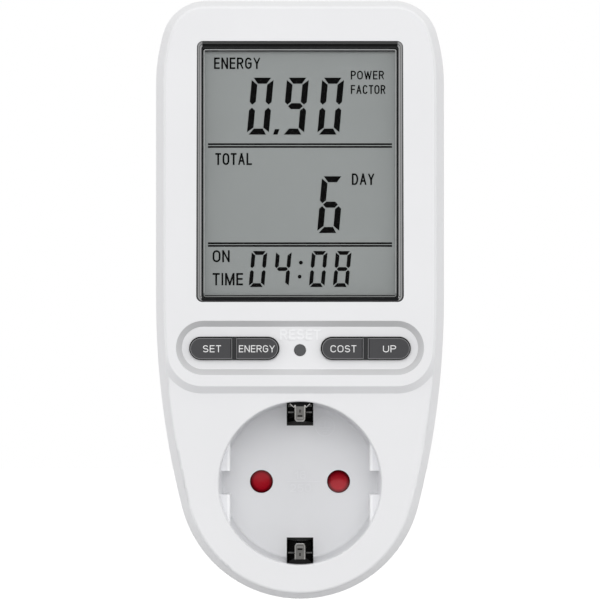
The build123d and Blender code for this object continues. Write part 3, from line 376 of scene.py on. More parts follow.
@once
def metal(name, colour, roughness, density=2600.0, depth=0.000006):
    """Drawn, rolled or plated metal with its rolling marks and dull patches."""
    material, tree, shader = new_material(name)
    texture = effect(tree, rolled_metal(), Line_Density=density)
    shader.inputs["Metallic"].default_value = 1.0
    tone = spread(tree, texture["Tarnish"], 0.0, 1.0)
    patchy = mixed(tree, tone, varied(colour, -0.10), varied(colour, 0.05))
    tree.links.new(patchy, shader.inputs["Base Color"])
    gloss = spread(tree, texture["Streak"], roughness * 0.75, min(1.0, roughness * 1.35))
    tree.links.new(gloss, shader.inputs["Roughness"])
    bump(tree, shader, texture["Height"], depth, 0.35)
    return material


AXES = ("Across", "Up", "Height")


@node_group("Region", {f"{axis} {edge}": 0.0 for axis in AXES for edge in "ABCD"}, ("Mask",))
def region_group(group, given):
    """Mask of places by |X|, |Z| and height; it is none up to A, full from B to C and none from D."""
    parts = coordinates(group)
    across, up = (math_node(group, "ABSOLUTE", parts[axis]) for axis in "XZ")
    mask = None
    for axis, value in zip(AXES, (across, up, math_node(group, "MULTIPLY", parts["Y"], -1.0))):
        for low, high in ("AB", "DC"):
            side = ramp(group, value, start=given[f"{axis} {low}"], full=given[f"{axis} {high}"])
            mask = math_node(group, "MULTIPLY", mask, side) if mask else side
    return {"Mask": mask}


def region(tree, limits):
    """Mask of the places within limits in millimetres, each as (none, full, full, none)."""
    edges = {
        f"{axis}_{edge}": value * MM for axis, four in limits.items() for edge, value in zip("ABCD", four)
    }
    return effect(tree, region_group(), **edges)["Mask"]


# Limits in millimetres that lie off the object, for the ends where a region isn't bounded
OPEN_LOW, OPEN_HIGH = (-1, -0.5), (190, 191)
UNBOUNDED = (*OPEN_LOW, *OPEN_HIGH)


def within(across=UNBOUNDED, up=UNBOUNDED, height=UNBOUNDED):
    """Limits of a region that is bounded only on the axes given."""
    return {"Across": across, "Up": up, "Height": height}


def tinted(material, mask, colour):
    """Give the places under a mask of this material another colour."""
    tree = material.node_tree
    shader = next(made for made in tree.nodes if made.type == "BSDF_PRINCIPLED")
    base = shader.inputs["Base Color"]
    tree.links.new(mixed(tree, mask, base.links[0].from_socket, colour), base)
    return material


# The two pockets of the earth clips, in millimetres, where painted shade goes
POCKETS = within(
    across=(*OPEN_LOW, 3.25, 3.3), up=(13.75, 13.8, 23.2, 23.3), height=(18.2, 18.5, 54.0, 57.5)
)
# Colour of the painted shade down in the pockets
POCKET_SHADE = grey(0.006)


def with_painted_pocket_shade(material):
    """The same finish, dull and dark down in the two pockets of the earth clips, as painted shade."""
    return tinted(material, region(material.node_tree, POCKETS), POCKET_SHADE)


@once
def shaded_moulding(name, limits, shade, *finish, **more):
    """Moulded plastic with painted light or shade in one region, in the colour given."""
    material = moulded(name, *finish, **more)
    return tinted(material, region(material.node_tree, limits), shade)


# Sizes for the painted shade on the dish's slope round the keys and its soft edge on the dish's floor
SLOPE_SIZES = {
    "Spine": 23.65 * MM,
    "Axis": 33.05 * MM,
    "Reach": 8.3 * MM,
    "Floor": 58.35 * MM,
    "Top": 59.74 * MM,
    "Soft Start": 5.6 * MM,
    "Soft End": 6.9 * MM,
    "Soft Depth": 0.2 * MM,
}


@node_group("Dish slope", SLOPE_SIZES, ("Mask",))
def dish_slope(group, given):
    """Mask of the sloping edge of the dish round the keys, for its painted shade, from how far a place is
    off the dish's spine.
    """
    parts = coordinates(group)
    across = math_node(group, "ABSOLUTE", parts["X"])
    past = math_node(group, "MAXIMUM", math_node(group, "SUBTRACT", across, given["Spine"]), 0.0)
    away = diagonal(group, past, math_node(group, "SUBTRACT", parts["Z"], given["Axis"]))
    height = math_node(group, "MULTIPLY", parts["Y"], -1.0)
    near = math_node(group, "LESS_THAN", away, given["Reach"])
    slope = math_node(group, "GREATER_THAN", height, given["Floor"])
    soft = ramp(group, away, {"To Max": 0.6}, start=given["Soft Start"], full=given["Soft End"])
    seat = math_node(group, "SUBTRACT", given["Floor"], given["Soft Depth"])
    soft = math_node(group, "MULTIPLY", soft, math_node(group, "GREATER_THAN", height, seat))
    mask = math_node(group, "MULTIPLY", near, math_node(group, "MAXIMUM", slope, soft))
    return {"Mask": math_node(group, "MULTIPLY", mask, math_node(group, "LESS_THAN", height, given["Top"]))}


@once
def case_moulding(name, colour, grain):
    """White of the covers, with painted soft shade on the slope round the keys and painted shade down in
    the clips' pockets.
    """
    material = with_painted_pocket_shade(moulded(name, colour, 0.5, grain, gleam=0.22))
    mask = effect(material.node_tree, dish_slope())["Mask"]
    # Painted shade on the dish's slope
    return tinted(material, mask, varied(colour, -0.26))


@once
def socket_moulding(name, colour, grain):
    """White of the recess, with painted light a little paler on the guide ribs, a painted highlight along
    their inner edges and painted shade down in the pockets.
    """
    material = with_painted_pocket_shade(moulded(name, colour, 0.36, grain))
    # Painted light on the guide ribs and a painted highlight along their inner edges
    ribs = within(across=(17.0, 17.1, *OPEN_HIGH), up=(*OPEN_LOW, 14, 15), height=(40.6, 40.8, *OPEN_HIGH))
    edges = within(across=(17.0, 17.1, 17.6, 17.9), up=(2.6, 2.7, 14, 15), height=(40.6, 40.8, *OPEN_HIGH))
    for limits, share in ((ribs, 0.13), (edges, 0.27)):
        tinted(material, region(material.node_tree, limits), varied(colour, share))
    return material


@node_group("Hole rims", {"Centre": 9.5 * MM, "Start": 1.9 * MM, "Full": 2.8 * MM}, ("Mask",))
def hole_rims(group, given):
    """Mask of a shutter's surface towards the rims of the two pin holes in front of it, for their painted
    shadow.
    """
    parts = coordinates(group)
    across = math_node(group, "SUBTRACT", math_node(group, "ABSOLUTE", parts["X"]), given["Centre"])
    away = diagonal(group, across, parts["Z"])
    return {"Mask": ramp(group, away, start=given["Start"], full=given["Full"])}


@once
def shutter_moulding(name, colour):
    """Glossy red of the shutter, with painted shadow that deepens towards the rims of the pin holes."""
    material = moulded(name, colour, 0.22, 0.0003, gleam=0.25)
    # Painted shadow of the holes' rims on the shutter
    return tinted(material, effect(material.node_tree, hole_rims())["Mask"], (0.06, 0.001, 0.004))


TONGUE_SIZES = {
    "Half Width": 1.3 * MM,
    "Free End": 14.85 * MM,
    "Corner": 0.9 * MM,
    "Rim": 0.32 * MM,
    "Root": 18.7 * MM,
}


@node_group("Tongue", TONGUE_SIZES, ("Tongue", "Face"))
def tongue(group, given):
    """Masks of a clip's bright tongue, round at its free end, and of its face inside the rim; the rim
    outside that face carries a painted highlight.
    """
    parts = coordinates(group)
    across, reach = (math_node(group, "ABSOLUTE", parts[axis]) for axis in "XZ")
    corner = given["Corner"]
    side = math_node(group, "SUBTRACT", given["Half Width"], corner)
    foot = math_node(group, "ADD", given["Free End"], corner)
    over = math_node(group, "MAXIMUM", math_node(group, "SUBTRACT", across, side), 0.0)
    under = math_node(group, "MAXIMUM", math_node(group, "SUBTRACT", foot, reach), 0.0)
    off = diagonal(group, over, under)
    rooted = math_node(group, "LESS_THAN", reach, given["Root"])
    limits = {"Tongue": corner, "Face": math_node(group, "SUBTRACT", corner, given["Rim"])}
    return {
        label: math_node(group, "MULTIPLY", math_node(group, "LESS_THAN", off, limit), rooted)
        for label, limit in limits.items()
    }


# Shapes pressed into the clips' tongues, shown as painted shade, in millimetres: half width,
# from, to, and their share of the metal's colour
PRESSED_SHADES = (
    (0.85, 15.62, 15.98, 0.85),
    (0.62, 16.1, 16.55, 0.03),
    (0.17, 17.15, 17.95, 0.03),
)


@once
def spring_clip(name, bright):
    """Clip of nickel, bright on its tongue and near-black elsewhere as painted shade in its pocket; the
    tongue has a painted highlight round its rim and painted shade in the shapes pressed into it.
    """
    material, tree, shader = new_material(name)
    rolled = effect(tree, rolled_metal(), Line_Density=3600.0)
    shader.inputs["Specular IOR Level"].default_value = 0.05
    masks = effect(tree, tongue())
    tongue_mask = masks["Tongue"]
    # Painted shade: the clip is near-black and not metal away from its bright tongue
    tree.links.new(mixed(tree, tongue_mask, grey(0.012), bright), shader.inputs["Base Color"])
    tree.links.new(tongue_mask, shader.inputs["Metallic"])
    dull = math_node(tree, "MULTIPLY", math_node(tree, "SUBTRACT", 1.0, tongue_mask), 0.5)
    gloss = math_node(tree, "ADD", spread(tree, rolled["Streak"], 0.26, 0.4), dull)
    tree.links.new(gloss, shader.inputs["Roughness"])
    bump(tree, shader, rolled["Height"], 0.000006, 0.35)
    # Painted highlight: the tongue's face is painted darker than its rim
    tinted(material, masks["Face"], varied(bright, -0.5))
    soft_side, soft_end = 0.04, 0.05
    # Painted shade in the pressed shapes
    for half, low, high, share in PRESSED_SHADES:
        limits = within(
            across=(*OPEN_LOW, half - soft_side, half), up=(low, low + soft_end, high - soft_end, high)
        )
        tinted(material, region(tree, limits), varied(bright, share - 1.0))
    return material


@once
def board(name, colour):
    """Board laminate with its tracks under the lacquer and bare pads."""
    material, tree, shader = new_material(name)
    texture = effect(tree, etched_tracks())
    lacquer = mixed(tree, texture["Track"], colour, varied(colour, 0.55))
    tree.links.new(mixed(tree, texture["Pad"], lacquer, (0.62, 0.6, 0.56)), shader.inputs["Base Color"])
    tree.links.new(math_node(tree, "MULTIPLY", texture["Pad"], 0.9), shader.inputs["Metallic"])
    tree.links.new(spread(tree, texture["Track"], 0.42, 0.34), shader.inputs["Roughness"])
    bump(tree, shader, texture["Height"], 0.00004, 0.6)
    return material


@once
def clear_window(name):
    """Clear window: light goes straight through, and the surface keeps a little gloss."""
    material, tree, shader = new_material(name)
    texture = effect(tree, moulded_grain(), Grain_Size=0.0006)
    shader.inputs["Base Color"].default_value = (*grey(0.02), 1.0)
    shader.inputs["Specular IOR Level"].default_value = 0.03
    shader.inputs["Alpha"].default_value = 0.03
    tree.links.new(spread(tree, texture["Speckle"], 0.04, 0.07), shader.inputs["Roughness"])
    bump(tree, shader, texture["Height"], 0.000002, 0.1)
    return material


@once
def key_moulding(name, colour):
    """Rubber of the keys, with black painted shade on their edges but for those that face each other."""
    # Painted shade on the keys' edges
    edges = within(height=(*OPEN_LOW, 59.44, 59.46))
    material = shaded_moulding(
        name, edges, grey(0.004), colour, 0.55, 0.0002, strength=0.35, shift=0.05, gleam=0.2
    )
    facing = within(across=(15.0, 15.05, 17.25, 17.3), up=(30.5, 30.55, 35.3, 35.35))
    return tinted(material, region(material.node_tree, facing), colour)


@once
def frame_moulding(name, colour):
    """Near-black of the display's frame, with its flat edge painted greyer as a painted highlight."""
    # Painted highlight on the frame's flat edge
    edge = within(height=(59.5, 59.52, *OPEN_HIGH))
    shade = (0.045, 0.045, 0.046)
    return shaded_moulding(
        name, edge, shade, colour, 0.3, 0.0002, depth=0.00001, strength=0.2, shift=0.06, gleam=0.1
    )


@once
def reset_moulding(name, colour):
    """Grey of the reset pin, with black painted shade down its side."""
    # Painted shade on the pin's side
    side = within(height=(*OPEN_LOW, 58.36, 58.42))
    return shaded_moulding(name, side, grey(0.006), colour, 0.45, 0.0002, gleam=0.2)


@once
def strip_metal(name, colour):
    """Nickel of the earth strips, dark behind the clips' pockets as painted shade."""
    return with_painted_pocket_shade(metal(name, colour, 0.28))


def finishes():
    """What makes the material of every slot of the record."""
    scene = bpy.context.scene
    case, shown = scene.monitor_case, scene.monitor_display
    keys, plate = scene.monitor_keys, scene.monitor_metal
    made = functools.partial
    return {
        "white_case": made(case_moulding, "White moulding", tuple(case.white), case.grain),
        "white_socket": made(socket_moulding, "Socket moulding", tuple(case.socket_white), case.grain),
        # The holders get painted shade down in the clips' pockets
        "white_inner": made(
            shaded_moulding, "Holder moulding", POCKETS, POCKET_SHADE, tuple(case.inner_white), 0.5, 0.0004
        ),
        "dark_frame": made(frame_moulding, "Dark display frame", tuple(shown.frame)),
        "clear_lens": made(clear_window, "Clear window"),
        "lcd_glass": made(
            moulded,
            "Grey display glass",
            tuple(shown.glass),
            0.3,
            0.0003,
            depth=0.000002,
            strength=0.1,
            shift=0.02,
            gleam=0.1,
        ),
        "grey_elastomer": made(moulded, "Layered elastomer", (0.12, 0.12, 0.125), 0.7, 0.0004),
        "green_board": made(board, "Green board", (0.03, 0.16, 0.07)),
        "dark_key": made(key_moulding, "Key rubber", tuple(keys.rubber)),
        "grey_key": made(reset_moulding, "Reset pin", tuple(keys.pin)),
        "black_switch": made(moulded, "Switch moulding", (0.02, 0.02, 0.021), 0.5, 0.0003),
        "red_shutter": made(shutter_moulding, "Shutter moulding", tuple(case.shutter_red)),
        "spring_steel": made(metal, "Spring wire", (0.55, 0.55, 0.56), 0.25, 5200.0),
        "bronze_contact": made(metal, "Bronze strip", tuple(plate.bronze), 0.3),
        "nickel_pin": made(metal, "Nickel pin", tuple(plate.nickel), 0.2, 1800.0),
        "nickel_strip": made(strip_metal, "Nickel strip", tuple(plate.nickel)),
        "nickel_clip": made(spring_clip, "Spring clip", tuple(plate.nickel)),
        "yellow_capacitor": made(moulded, "Capacitor box", (0.5, 0.36, 0.04), 0.4, 0.0003),
        "aluminium_can": made(metal, "Drawn can", (0.72, 0.72, 0.73), 0.32),
        "blue_varistor": made(moulded, "Dipped resin", (0.03, 0.09, 0.3), 0.35, 0.0008, 0.00004),
        "brown_resistor": made(moulded, "Lacquered body", (0.2, 0.1, 0.05), 0.45, 0.0006),
        "black_diode": made(moulded, "Diode body", grey(0.018), 0.35, 0.0004),
        "green_battery": made(moulded, "Shrunk sleeve", (0.05, 0.2, 0.09), 0.3, 0.001, 0.00005),
        "grey_cable": made(moulded, "Flat cable", (0.3, 0.3, 0.31), 0.5, 0.0012, 0.00008),
        "brown_lead": made(moulded, "Brown insulation", (0.14, 0.05, 0.02), 0.45, 0.0006),
        "blue_lead": made(moulded, "Blue insulation", (0.02, 0.07, 0.33), 0.45, 0.0006),
        "zinc_screw": made(metal, "Zinc screw", tuple(plate.zinc), 0.3, 1500.0),
    }


def dress(slots):
    """Give each CAD node of these slots its material."""
    made = finishes()
    for entry in frame["record"]["subparts"]:
        if entry["material_slot"] not in slots:
            continue
        target = NODES[entry["node"]]
        material = made[entry["material_slot"]]()
        if not target.material_slots:
            target.data.materials.append(material)
        for place in target.material_slots:
            place.link = "OBJECT"
            place.material = material


def add_piece(mesh, body, material):
    """Put a mesh into the scene as a piece of its name that rides on a body."""
    solid = bmesh.new()
    solid.from_mesh(mesh)
    bmesh.ops.recalc_face_normals(solid, faces=solid.faces)
    solid.to_mesh(mesh)
    solid.free()
    piece = bpy.data.objects.new(mesh.name, mesh)
    bpy.context.scene.collection.objects.link(piece)
    piece.data.materials.append(material)
    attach(piece, body)


def mesh_of(name, points, faces):
    """A mesh from its points and faces."""
    mesh = bpy.data.meshes.new(name)
    mesh.from_pydata(points, [], faces)
    mesh.update()
    return mesh


def add_prism(points, faces, near, far):
    """Add a prism between two outlines to a mesh's points and faces."""
    first, count = len(points), len(near)
    points += [*near, *far]
    faces += [[first + i for i in range(count)], [first + count + i for i in range(count)]]
    for here in range(count):
        there = (here + 1) % count
        faces.append([first + here, first + there, first + count + there, first + count + here])


def prisms(name, outlines, front, depth):
    """A mesh of flat prisms: outlines of (x, z) points, with their faces at y = front."""
    points, faces = [], []
    for number, outline in enumerate(outlines):
        face, back = front - number % 3 * STAGGER, front + depth
        add_prism(points, faces, [(x, face, z) for x, z in outline], [(x, back, z) for x, z in outline])
    return mesh_of(name, points, faces)


def loops_mesh(name, loops):
    """A closed ring: each loop is (points, y), all with the same count, joined in turn."""
    points = [(x, y, z) for outline, y in loops for x, z in outline]
    count, turns = len(loops[0][0]), len(loops)
    faces = []
    for turn in range(turns):
        here, there = turn * count, (turn + 1) % turns * count
        for index in range(count):
            after = (index + 1) % count
            faces.append([here + index, here + after, there + after, there + index])
    return mesh_of(name, points, faces)


def flat_ring(name, near, far, front, depth=INK_THICKNESS):
    """A mesh of a flat ring between two outlines, with its face at y = front."""
    back = front + depth
    return loops_mesh(name, [(near, front), (far, front), (far, back), (near, back)])


def rounded(half_x, half_z, radius, centre_x, centre_z, steps=8):
    """Outline of a rounded rectangle; the number of points doesn't depend on its size."""
    points = []
    for side_x, side_z, angle in ((1, 1, 0), (-1, 1, 90), (-1, -1, 180), (1, -1, 270)):
        corner_x = centre_x + side_x * (half_x - radius)
        corner_z = centre_z + side_z * (half_z - radius)
        points += arc(corner_x, corner_z, radius, radius, angle, angle + 90, steps)
    return points


def half_capsule(inner, outer, centre_z, half_height, inset):
    """Outline of a key: straight on the inner side, half round on the outer side, moved in by an inset."""
    side = 1 if outer > inner else -1
    radius = half_height - inset
    tip = outer - side * half_height
    start = inner + side * inset
    turned = [(tip + side * (x - tip), z) for x, z in arc(tip, centre_z, radius, radius, -90, 90, 20)]
    return [(start, centre_z - radius), *turned, (start, centre_z + radius)]


def arc(centre_x, centre_z, radius_x, radius_z, first, last, count=10):
    """Points on part of an ellipse; angles in degrees, anticlockwise from the right."""
    angles = [math.radians(first + (last - first) * i / count) for i in range(count + 1)]
    return [(centre_x + radius_x * math.cos(a), centre_z + radius_z * math.sin(a)) for a in angles]


def bowl(low, high, start_x):
    """Stroke of a bowl that leaves the stem, goes round on the right and comes back."""
    middle, half = (low + high) / 2, (high - low) / 2
    turned = arc(start_x, middle, 1 - start_x, half, 90, -90)
    return [(0, high), (start_x, high), *turned, (start_x, low), (0, low)]


# A round letter in an upper and a lower half
ROUND = [
    [(0, 0.5), *arc(0.5, 0.7, 0.5, 0.3, 180, 0), (1, 0.5)],
    [(0, 0.5), *arc(0.5, 0.3, 0.5, 0.3, 180, 360), (1, 0.5)],
]

# Gap between letters as a share of their height
LETTER_GAP = 0.16

# Letters as strokes in a box one wide and one high, and their widths as shares of their height
LETTERS = {
    "A": (0.62, [[(0, 0), (0.5, 1), (1, 0)], [(0.2, 0.32), (0.8, 0.32)]]),
    "C": (0.58, [arc(0.5, 0.7, 0.5, 0.3, 18, 180) + arc(0.5, 0.3, 0.5, 0.3, 180, 342)]),
    "D": (0.58, [[(0, 0), *bowl(0, 1, 0.45)]]),
    "E": (0.45, [[(1, 1), (0, 1), (0, 0), (1, 0)], [(0, 0.52), (0.92, 0.52)]]),
    "F": (0.48, [[(1, 1), (0, 1), (0, 0)], [(0, 0.52), (0.9, 0.52)]]),
    "G": (
        0.56,
        [arc(0.5, 0.7, 0.5, 0.3, 20, 180) + arc(0.5, 0.3, 0.5, 0.3, 180, 350) + [(1, 0.5), (0.55, 0.5)]],
    ),
    "I": (0.0, [[(0.5, 0), (0.5, 1)]]),
    "L": (0.46, [[(0, 1), (0, 0), (1, 0)]]),
    "M": (0.70, [[(0, 0), (0, 1)], [(0.04, 1), (0.5, 0.0), (0.96, 1)], [(1, 1), (1, 0)]]),
    "N": (0.56, [[(0, 0), (0, 1)], [(0.04, 1), (0.96, 0)], [(1, 0), (1, 1)]]),
    "O": (0.60, ROUND),
    "P": (0.52, [[(0, 0), *bowl(0.48, 1, 0.55)]]),
    "R": (0.54, [[(0, 0), *bowl(0.5, 1, 0.55)], [(0.55, 0.5), (1, 0)]]),
    "S": (0.54, [arc(0.5, 0.745, 0.46, 0.255, 20, 262) + arc(0.5, 0.255, 0.5, 0.255, 82, -160)]),
    "T": (0.49, [[(0, 1), (1, 1)], [(0.5, 1), (0.5, 0)]]),
    "U": (0.56, [[(0, 1), *arc(0.5, 0.3, 0.5, 0.3, 180, 360), (1, 1)]]),
    "W": (0.86, [[(0, 1), (0.25, 0), (0.5, 0.9), (0.75, 0), (1, 1)]]),
    "Y": (0.58, [[(0, 1), (0.5, 0.46), (1, 1)], [(0.5, 0.46), (0.5, 0)]]),
    "0": (0.52, ROUND),
    "1": (0.22, [[(0, 0.75), (1, 1), (1, 0)]]),
    "2": (0.52, [arc(0.5, 0.7, 0.5, 0.3, 165, -35) + [(0, 0), (1, 0)]]),
    "5": (0.52, [[(0.95, 1), (0.12, 1), (0.04, 0.5)] + arc(0.48, 0.31, 0.52, 0.31, 130, -160)]),
    "6": (
        0.52,
        [
            [*arc(0.5, 0.7, 0.5, 0.3, 35, 180), *arc(0.5, 0.3, 0.5, 0.3, 180, 360)],
            arc(0.5, 0.3, 0.5, 0.3, 0, 180),
        ],
    ),
}


SHARPEST_BEND = math.radians(40)


def smooth_runs(points):
    """The points split into runs at the corners, so that each run bends gently."""
    vectors = [Vector(point) for point in points]
    path = vectors[:1] + [after for before, after in zip(vectors, vectors[1:]) if after != before]
    runs, run = [], path[:2]
    for point in path[2:]:
        turn = (run[-1] - run[-2]).angle(point - run[-1])
        if turn > SHARPEST_BEND:
            runs.append(run)
            run = run[-1:]
        run.append(point)
    return [*runs, run]


def stroke_outlines(points, width, box):
    """Outlines of a stroke of this width along the points; straight runs fill the corners of the box."""
    outlines = []
    for run in smooth_runs(points):
        if len(run) == 2:
            reach = (run[1] - run[0]).normalized() * width / 2
            run = [run[0] - reach, run[1] + reach]
        sides = []
        for index, point in enumerate(run):
            before = run[max(1, index)] - run[max(1, index) - 1]
            after = run[min(len(run) - 1, index + 1)] - run[min(len(run) - 1, index + 1) - 1]
            along = (before.normalized() + after.normalized()).normalized()
            across = Vector((-along.y, along.x)) * width / 2
            pair = [point + across, point - across]
            sides.append([(min(max(p.x, box[0]), box[1]), min(max(p.y, box[2]), box[3])) for p in pair])
        outlines.append([pair[1] for pair in sides] + [pair[0] for pair in reversed(sides)])
    return outlines


def words_mesh(name, text, box, front, depth, weight=0.15):
    """Lettering as a mesh that fills a box, with its face at y = front.

    The box is left, base, width and height in millimetres; weight is the stroke as a share of
    the height.
    """
    place, base, width, height = (side * MM for side in box)
    stroke = height * weight
    total = sum(LETTERS[letter][0] + weight for letter in text) + LETTER_GAP * (len(text) - 1)
    share = width / total
    outlines = []
    for letter in text:
        letter_share, strokes = LETTERS[letter]
        wide = (letter_share + weight) * share
        inner_x, inner_z = wide - stroke, height - stroke
        for points in strokes:
            moved = [(place + stroke / 2 + x * inner_x, base + stroke / 2 + z * inner_z) for x, z in points]
            outlines += stroke_outlines(moved, stroke, (place, place + wide, base, base + height))
        place += wide + LETTER_GAP * share
    return prisms(name, outlines, front, depth)


# The segments that are dark for each digit, lettered clockwise from the top with g in the middle
SEGMENTS = {
    "0": "abcdef",
    "4": "bcfg",
    "6": "acdefg",
    "8": "abcdefg",
    "9": "abcdfg",
}


def digit_outlines(digit, left, base, width, height):
    """The segments of one slanted digit as outlines; left is where its foot starts."""
    shown = bpy.context.scene.monitor_display
    stroke = height * shown.stroke_share
    gap = height * shown.gap_share
    middle = height / 2
    # How far the ends of the segments are cut back, as shares of the stroke
    left_cut, right_cut, end_cut, inner_cut, outer_cut, tip_x, tip_z = (
        share * stroke for share in (0.2, 0.36, 0.3, 0.64, 0.6, 0.45, 0.16)
    )
    top = [
        (left_cut + gap, height),
        (width - right_cut - gap, height),
        (width - stroke - gap, height - stroke),
        (stroke + gap, height - stroke),
    ]
    side = [
        (0, height - end_cut - gap),
        (stroke, height - stroke - 2 * gap),
        (stroke, middle + inner_cut + gap),
        (tip_x, middle + tip_z + gap),
        (0, middle + outer_cut + gap),
    ]
    end, inner, half = gap + stroke / 2, stroke + gap, stroke / 2
    bar = [
        (end, middle),
        (inner, middle + half),
        (width - inner, middle + half),
        (width - end, middle),
        (width - inner, middle - half),
        (inner, middle - half),
    ]
    shapes = {
        "a": top,
        "d": [(x, height - z) for x, z in top],
        "f": side,
        "b": [(width - x, z) for x, z in side],
        "e": [(x, height - z) for x, z in side],
        "c": [(width - x, height - z) for x, z in side],
        "g": bar,
    }
    lean = math.tan(shown.slant)
    return [[(left + x + z * lean, base + z) for x, z in shapes[letter]] for letter in SEGMENTS[digit]]


def rectangle(left, base, width, height, lean=0.0):
    """Outline of an upright bar, its top moved to the right by its lean."""
    right, top, shift = left + width, base + height, height * lean
    return [(left, base), (right, base), (right + shift, top), (left + shift, top)]


def disc(centre_x, centre_z, radius, count=28):
    """Outline of a round dot."""
    angles = [2 * math.pi * i / count for i in range(count)]
    return [(centre_x + radius * math.cos(angle), centre_z + radius * math.sin(angle)) for angle in angles]


def cross_outline(centre_x, centre_z, arm, half):
    """Outline of a screw's cross recess: one corner between two arms, turned three times."""
    corner, points = [(-arm, -half), (-half, -half), (-half, -arm)], []
    for _ in range(4):
        points += corner
        corner = [(-z, x) for x, z in corner]
    return [(centre_x + x, centre_z + z) for x, z in points]


# Bands of painted light on the slope of the display's frame: where they start and end on the way from the
# window outwards, the grey of their upright sides (painted highlight) and of their top (painted shade), and
# their gloss
FRAME_BANDS = (
    ("frame_band_inner", 0.3, 0.58, 0.42, 0.008, 0.05),
    ("frame_band_outer", 0.64, 0.98, 0.33, 0.05, 0.3),
)


def slope_loop(share, lift):
    """Outline at a share of the frame's slope, from the window outwards, and its y."""
    slope_x, slope_z, slope_shift, slope_rise = 1.25 * MM, 1.2 * MM, 0.35 * MM, 1.3 * MM
    corner, corner_growth, slope_foot = 0.4 * MM, 0.8 * MM, -58.25 * MM
    outline = rounded(
        VIEW_HALF_X + share * slope_x,
        VIEW_HALF_Z + share * slope_z,
        corner + share * corner_growth,
        0,
        VIEW_Z + share * slope_shift,
    )
    return outline, slope_foot - share * slope_rise - lift


class MONITOR_OT_case(bpy.types.Operator):
    """Finish the covers, the dark display frame and the unseen holders"""

    bl_idname = "monitor.case"
    bl_label = "Case"

    def execute(self, context):
        dress({"white_case", "dark_frame", "white_inner"})
        for band in FRAME_BANDS:
            self.frame_band(*band)
        self.window_edge()
        self.window_lip()
        return {"FINISHED"}

    def frame_band(self, name, start, end, pale, deep, gleam):
        """A thin band on the frame's slope with painted light: pale painted highlight at its sides, deep
        painted shade at its top and black painted shade at its foot.
        """
        film = 0.03 * MM
        loops = [slope_loop(start, film), slope_loop(end, film), slope_loop(end, 0), slope_loop(start, 0)]
        # Painted highlight on the band's upright sides, painted shade on its top
        sides = within(across=(23.7, 24.0, *OPEN_HIGH))
        painted_band = shaded_moulding(f"Satin {name}", sides, grey(pale), grey(deep), 0.3, 0.0002, gleam=gleam)
        # Black painted shade at the band's foot
        foot = within(across=(*OPEN_LOW, 23.6, 24.0), up=(*OPEN_LOW, 46, 47))
        tinted(painted_band, region(painted_band.node_tree, foot), grey(0.01))
        add_piece(loops_mesh(name, loops), "case", painted_band)

    def window_edge(self):
        """The dark line, the pale bevel and the two dark bars inside the window: painted shade on the line,
        a painted highlight on the bevel with painted shade at its foot, and painted shadow on the bars.
        """
        face, thickness = -57.47 * MM, 0.05 * MM

        def outline(grow, corner, drop):
            half_x, half_z = VIEW_HALF_X + grow * MM, VIEW_HALF_Z + grow * MM
            return rounded(half_x, half_z, corner * MM, 0, VIEW_Z - drop * MM)

        opening = outline(0.03, 0.4, 0.0)
        middle = outline(-0.16, 0.5, 0.08)
        inside = outline(-0.4, 0.3, 0.08)
        # Painted shade on the line round the window, and painted shadow on the two bars
        black = moulded("Window shade", grey(0.004), 0.5, 0.0002, gleam=0.1)
        # Painted highlight on the bevel, with painted shade along its foot
        foot_line = within(up=(*OPEN_LOW, 46.2, 46.6))
        shade, bevel = (0.17, 0.18, 0.175), (0.45, 0.465, 0.46)
        pale = shaded_moulding("Window bevel", foot_line, shade, bevel, 0.4, 0.0002)
        add_piece(flat_ring("window_shade", middle, opening, face, thickness), "case", black)
        add_piece(flat_ring("window_bevel", inside, middle, face, thickness), "case", pale)
        # Two bars of painted shadow along the top and the foot of the window
        half, rows = 23.2 * MM, ((105.42, 0.29), (45.73, 0.22))
        bars = [rectangle(-half, base * MM, 2 * half, height * MM) for base, height in rows]
        add_piece(prisms("window_shadow_bars", bars, face, thickness), "case", black)

    def window_lip(self):
        """The white edge round the frame, a little narrower at its top."""
        foot, top, half_x, taper = 44.25 * MM, 107.9 * MM, 25.33 * MM, 0.2 * MM
        middle, half_z = (foot + top) / 2, (top - foot) / 2
        lean = taper / half_x / (top - foot)
        near = [(x * (1 - (z - foot) * lean), z) for x, z in rounded(half_x, half_z, 1.5 * MM, 0, middle)]
        far = rounded(25.55 * MM, 32.2 * MM, 1.4 * MM, 0, 76.15 * MM)
        mesh = flat_ring("window_lip", near, far, -59.78 * MM, 0.1 * MM)
        add_piece(mesh, "case", finishes()["white_case"]())


# Bright edges on the left of the upper clip's tongue, painted highlights in nickel, in millimetres, and how
# far they stand off the clip
CLIP_EDGES = (
    (0.12, ((-2.55, 19.25), (-2.38, 19.42), (-1.6, 18.72), (-1.72, 18.52))),
    (0.14, ((-1.72, 18.5), (-1.3, 18.45), (-1.0, 18.6), (-1.0, 19.0), (-1.25, 19.1))),
)


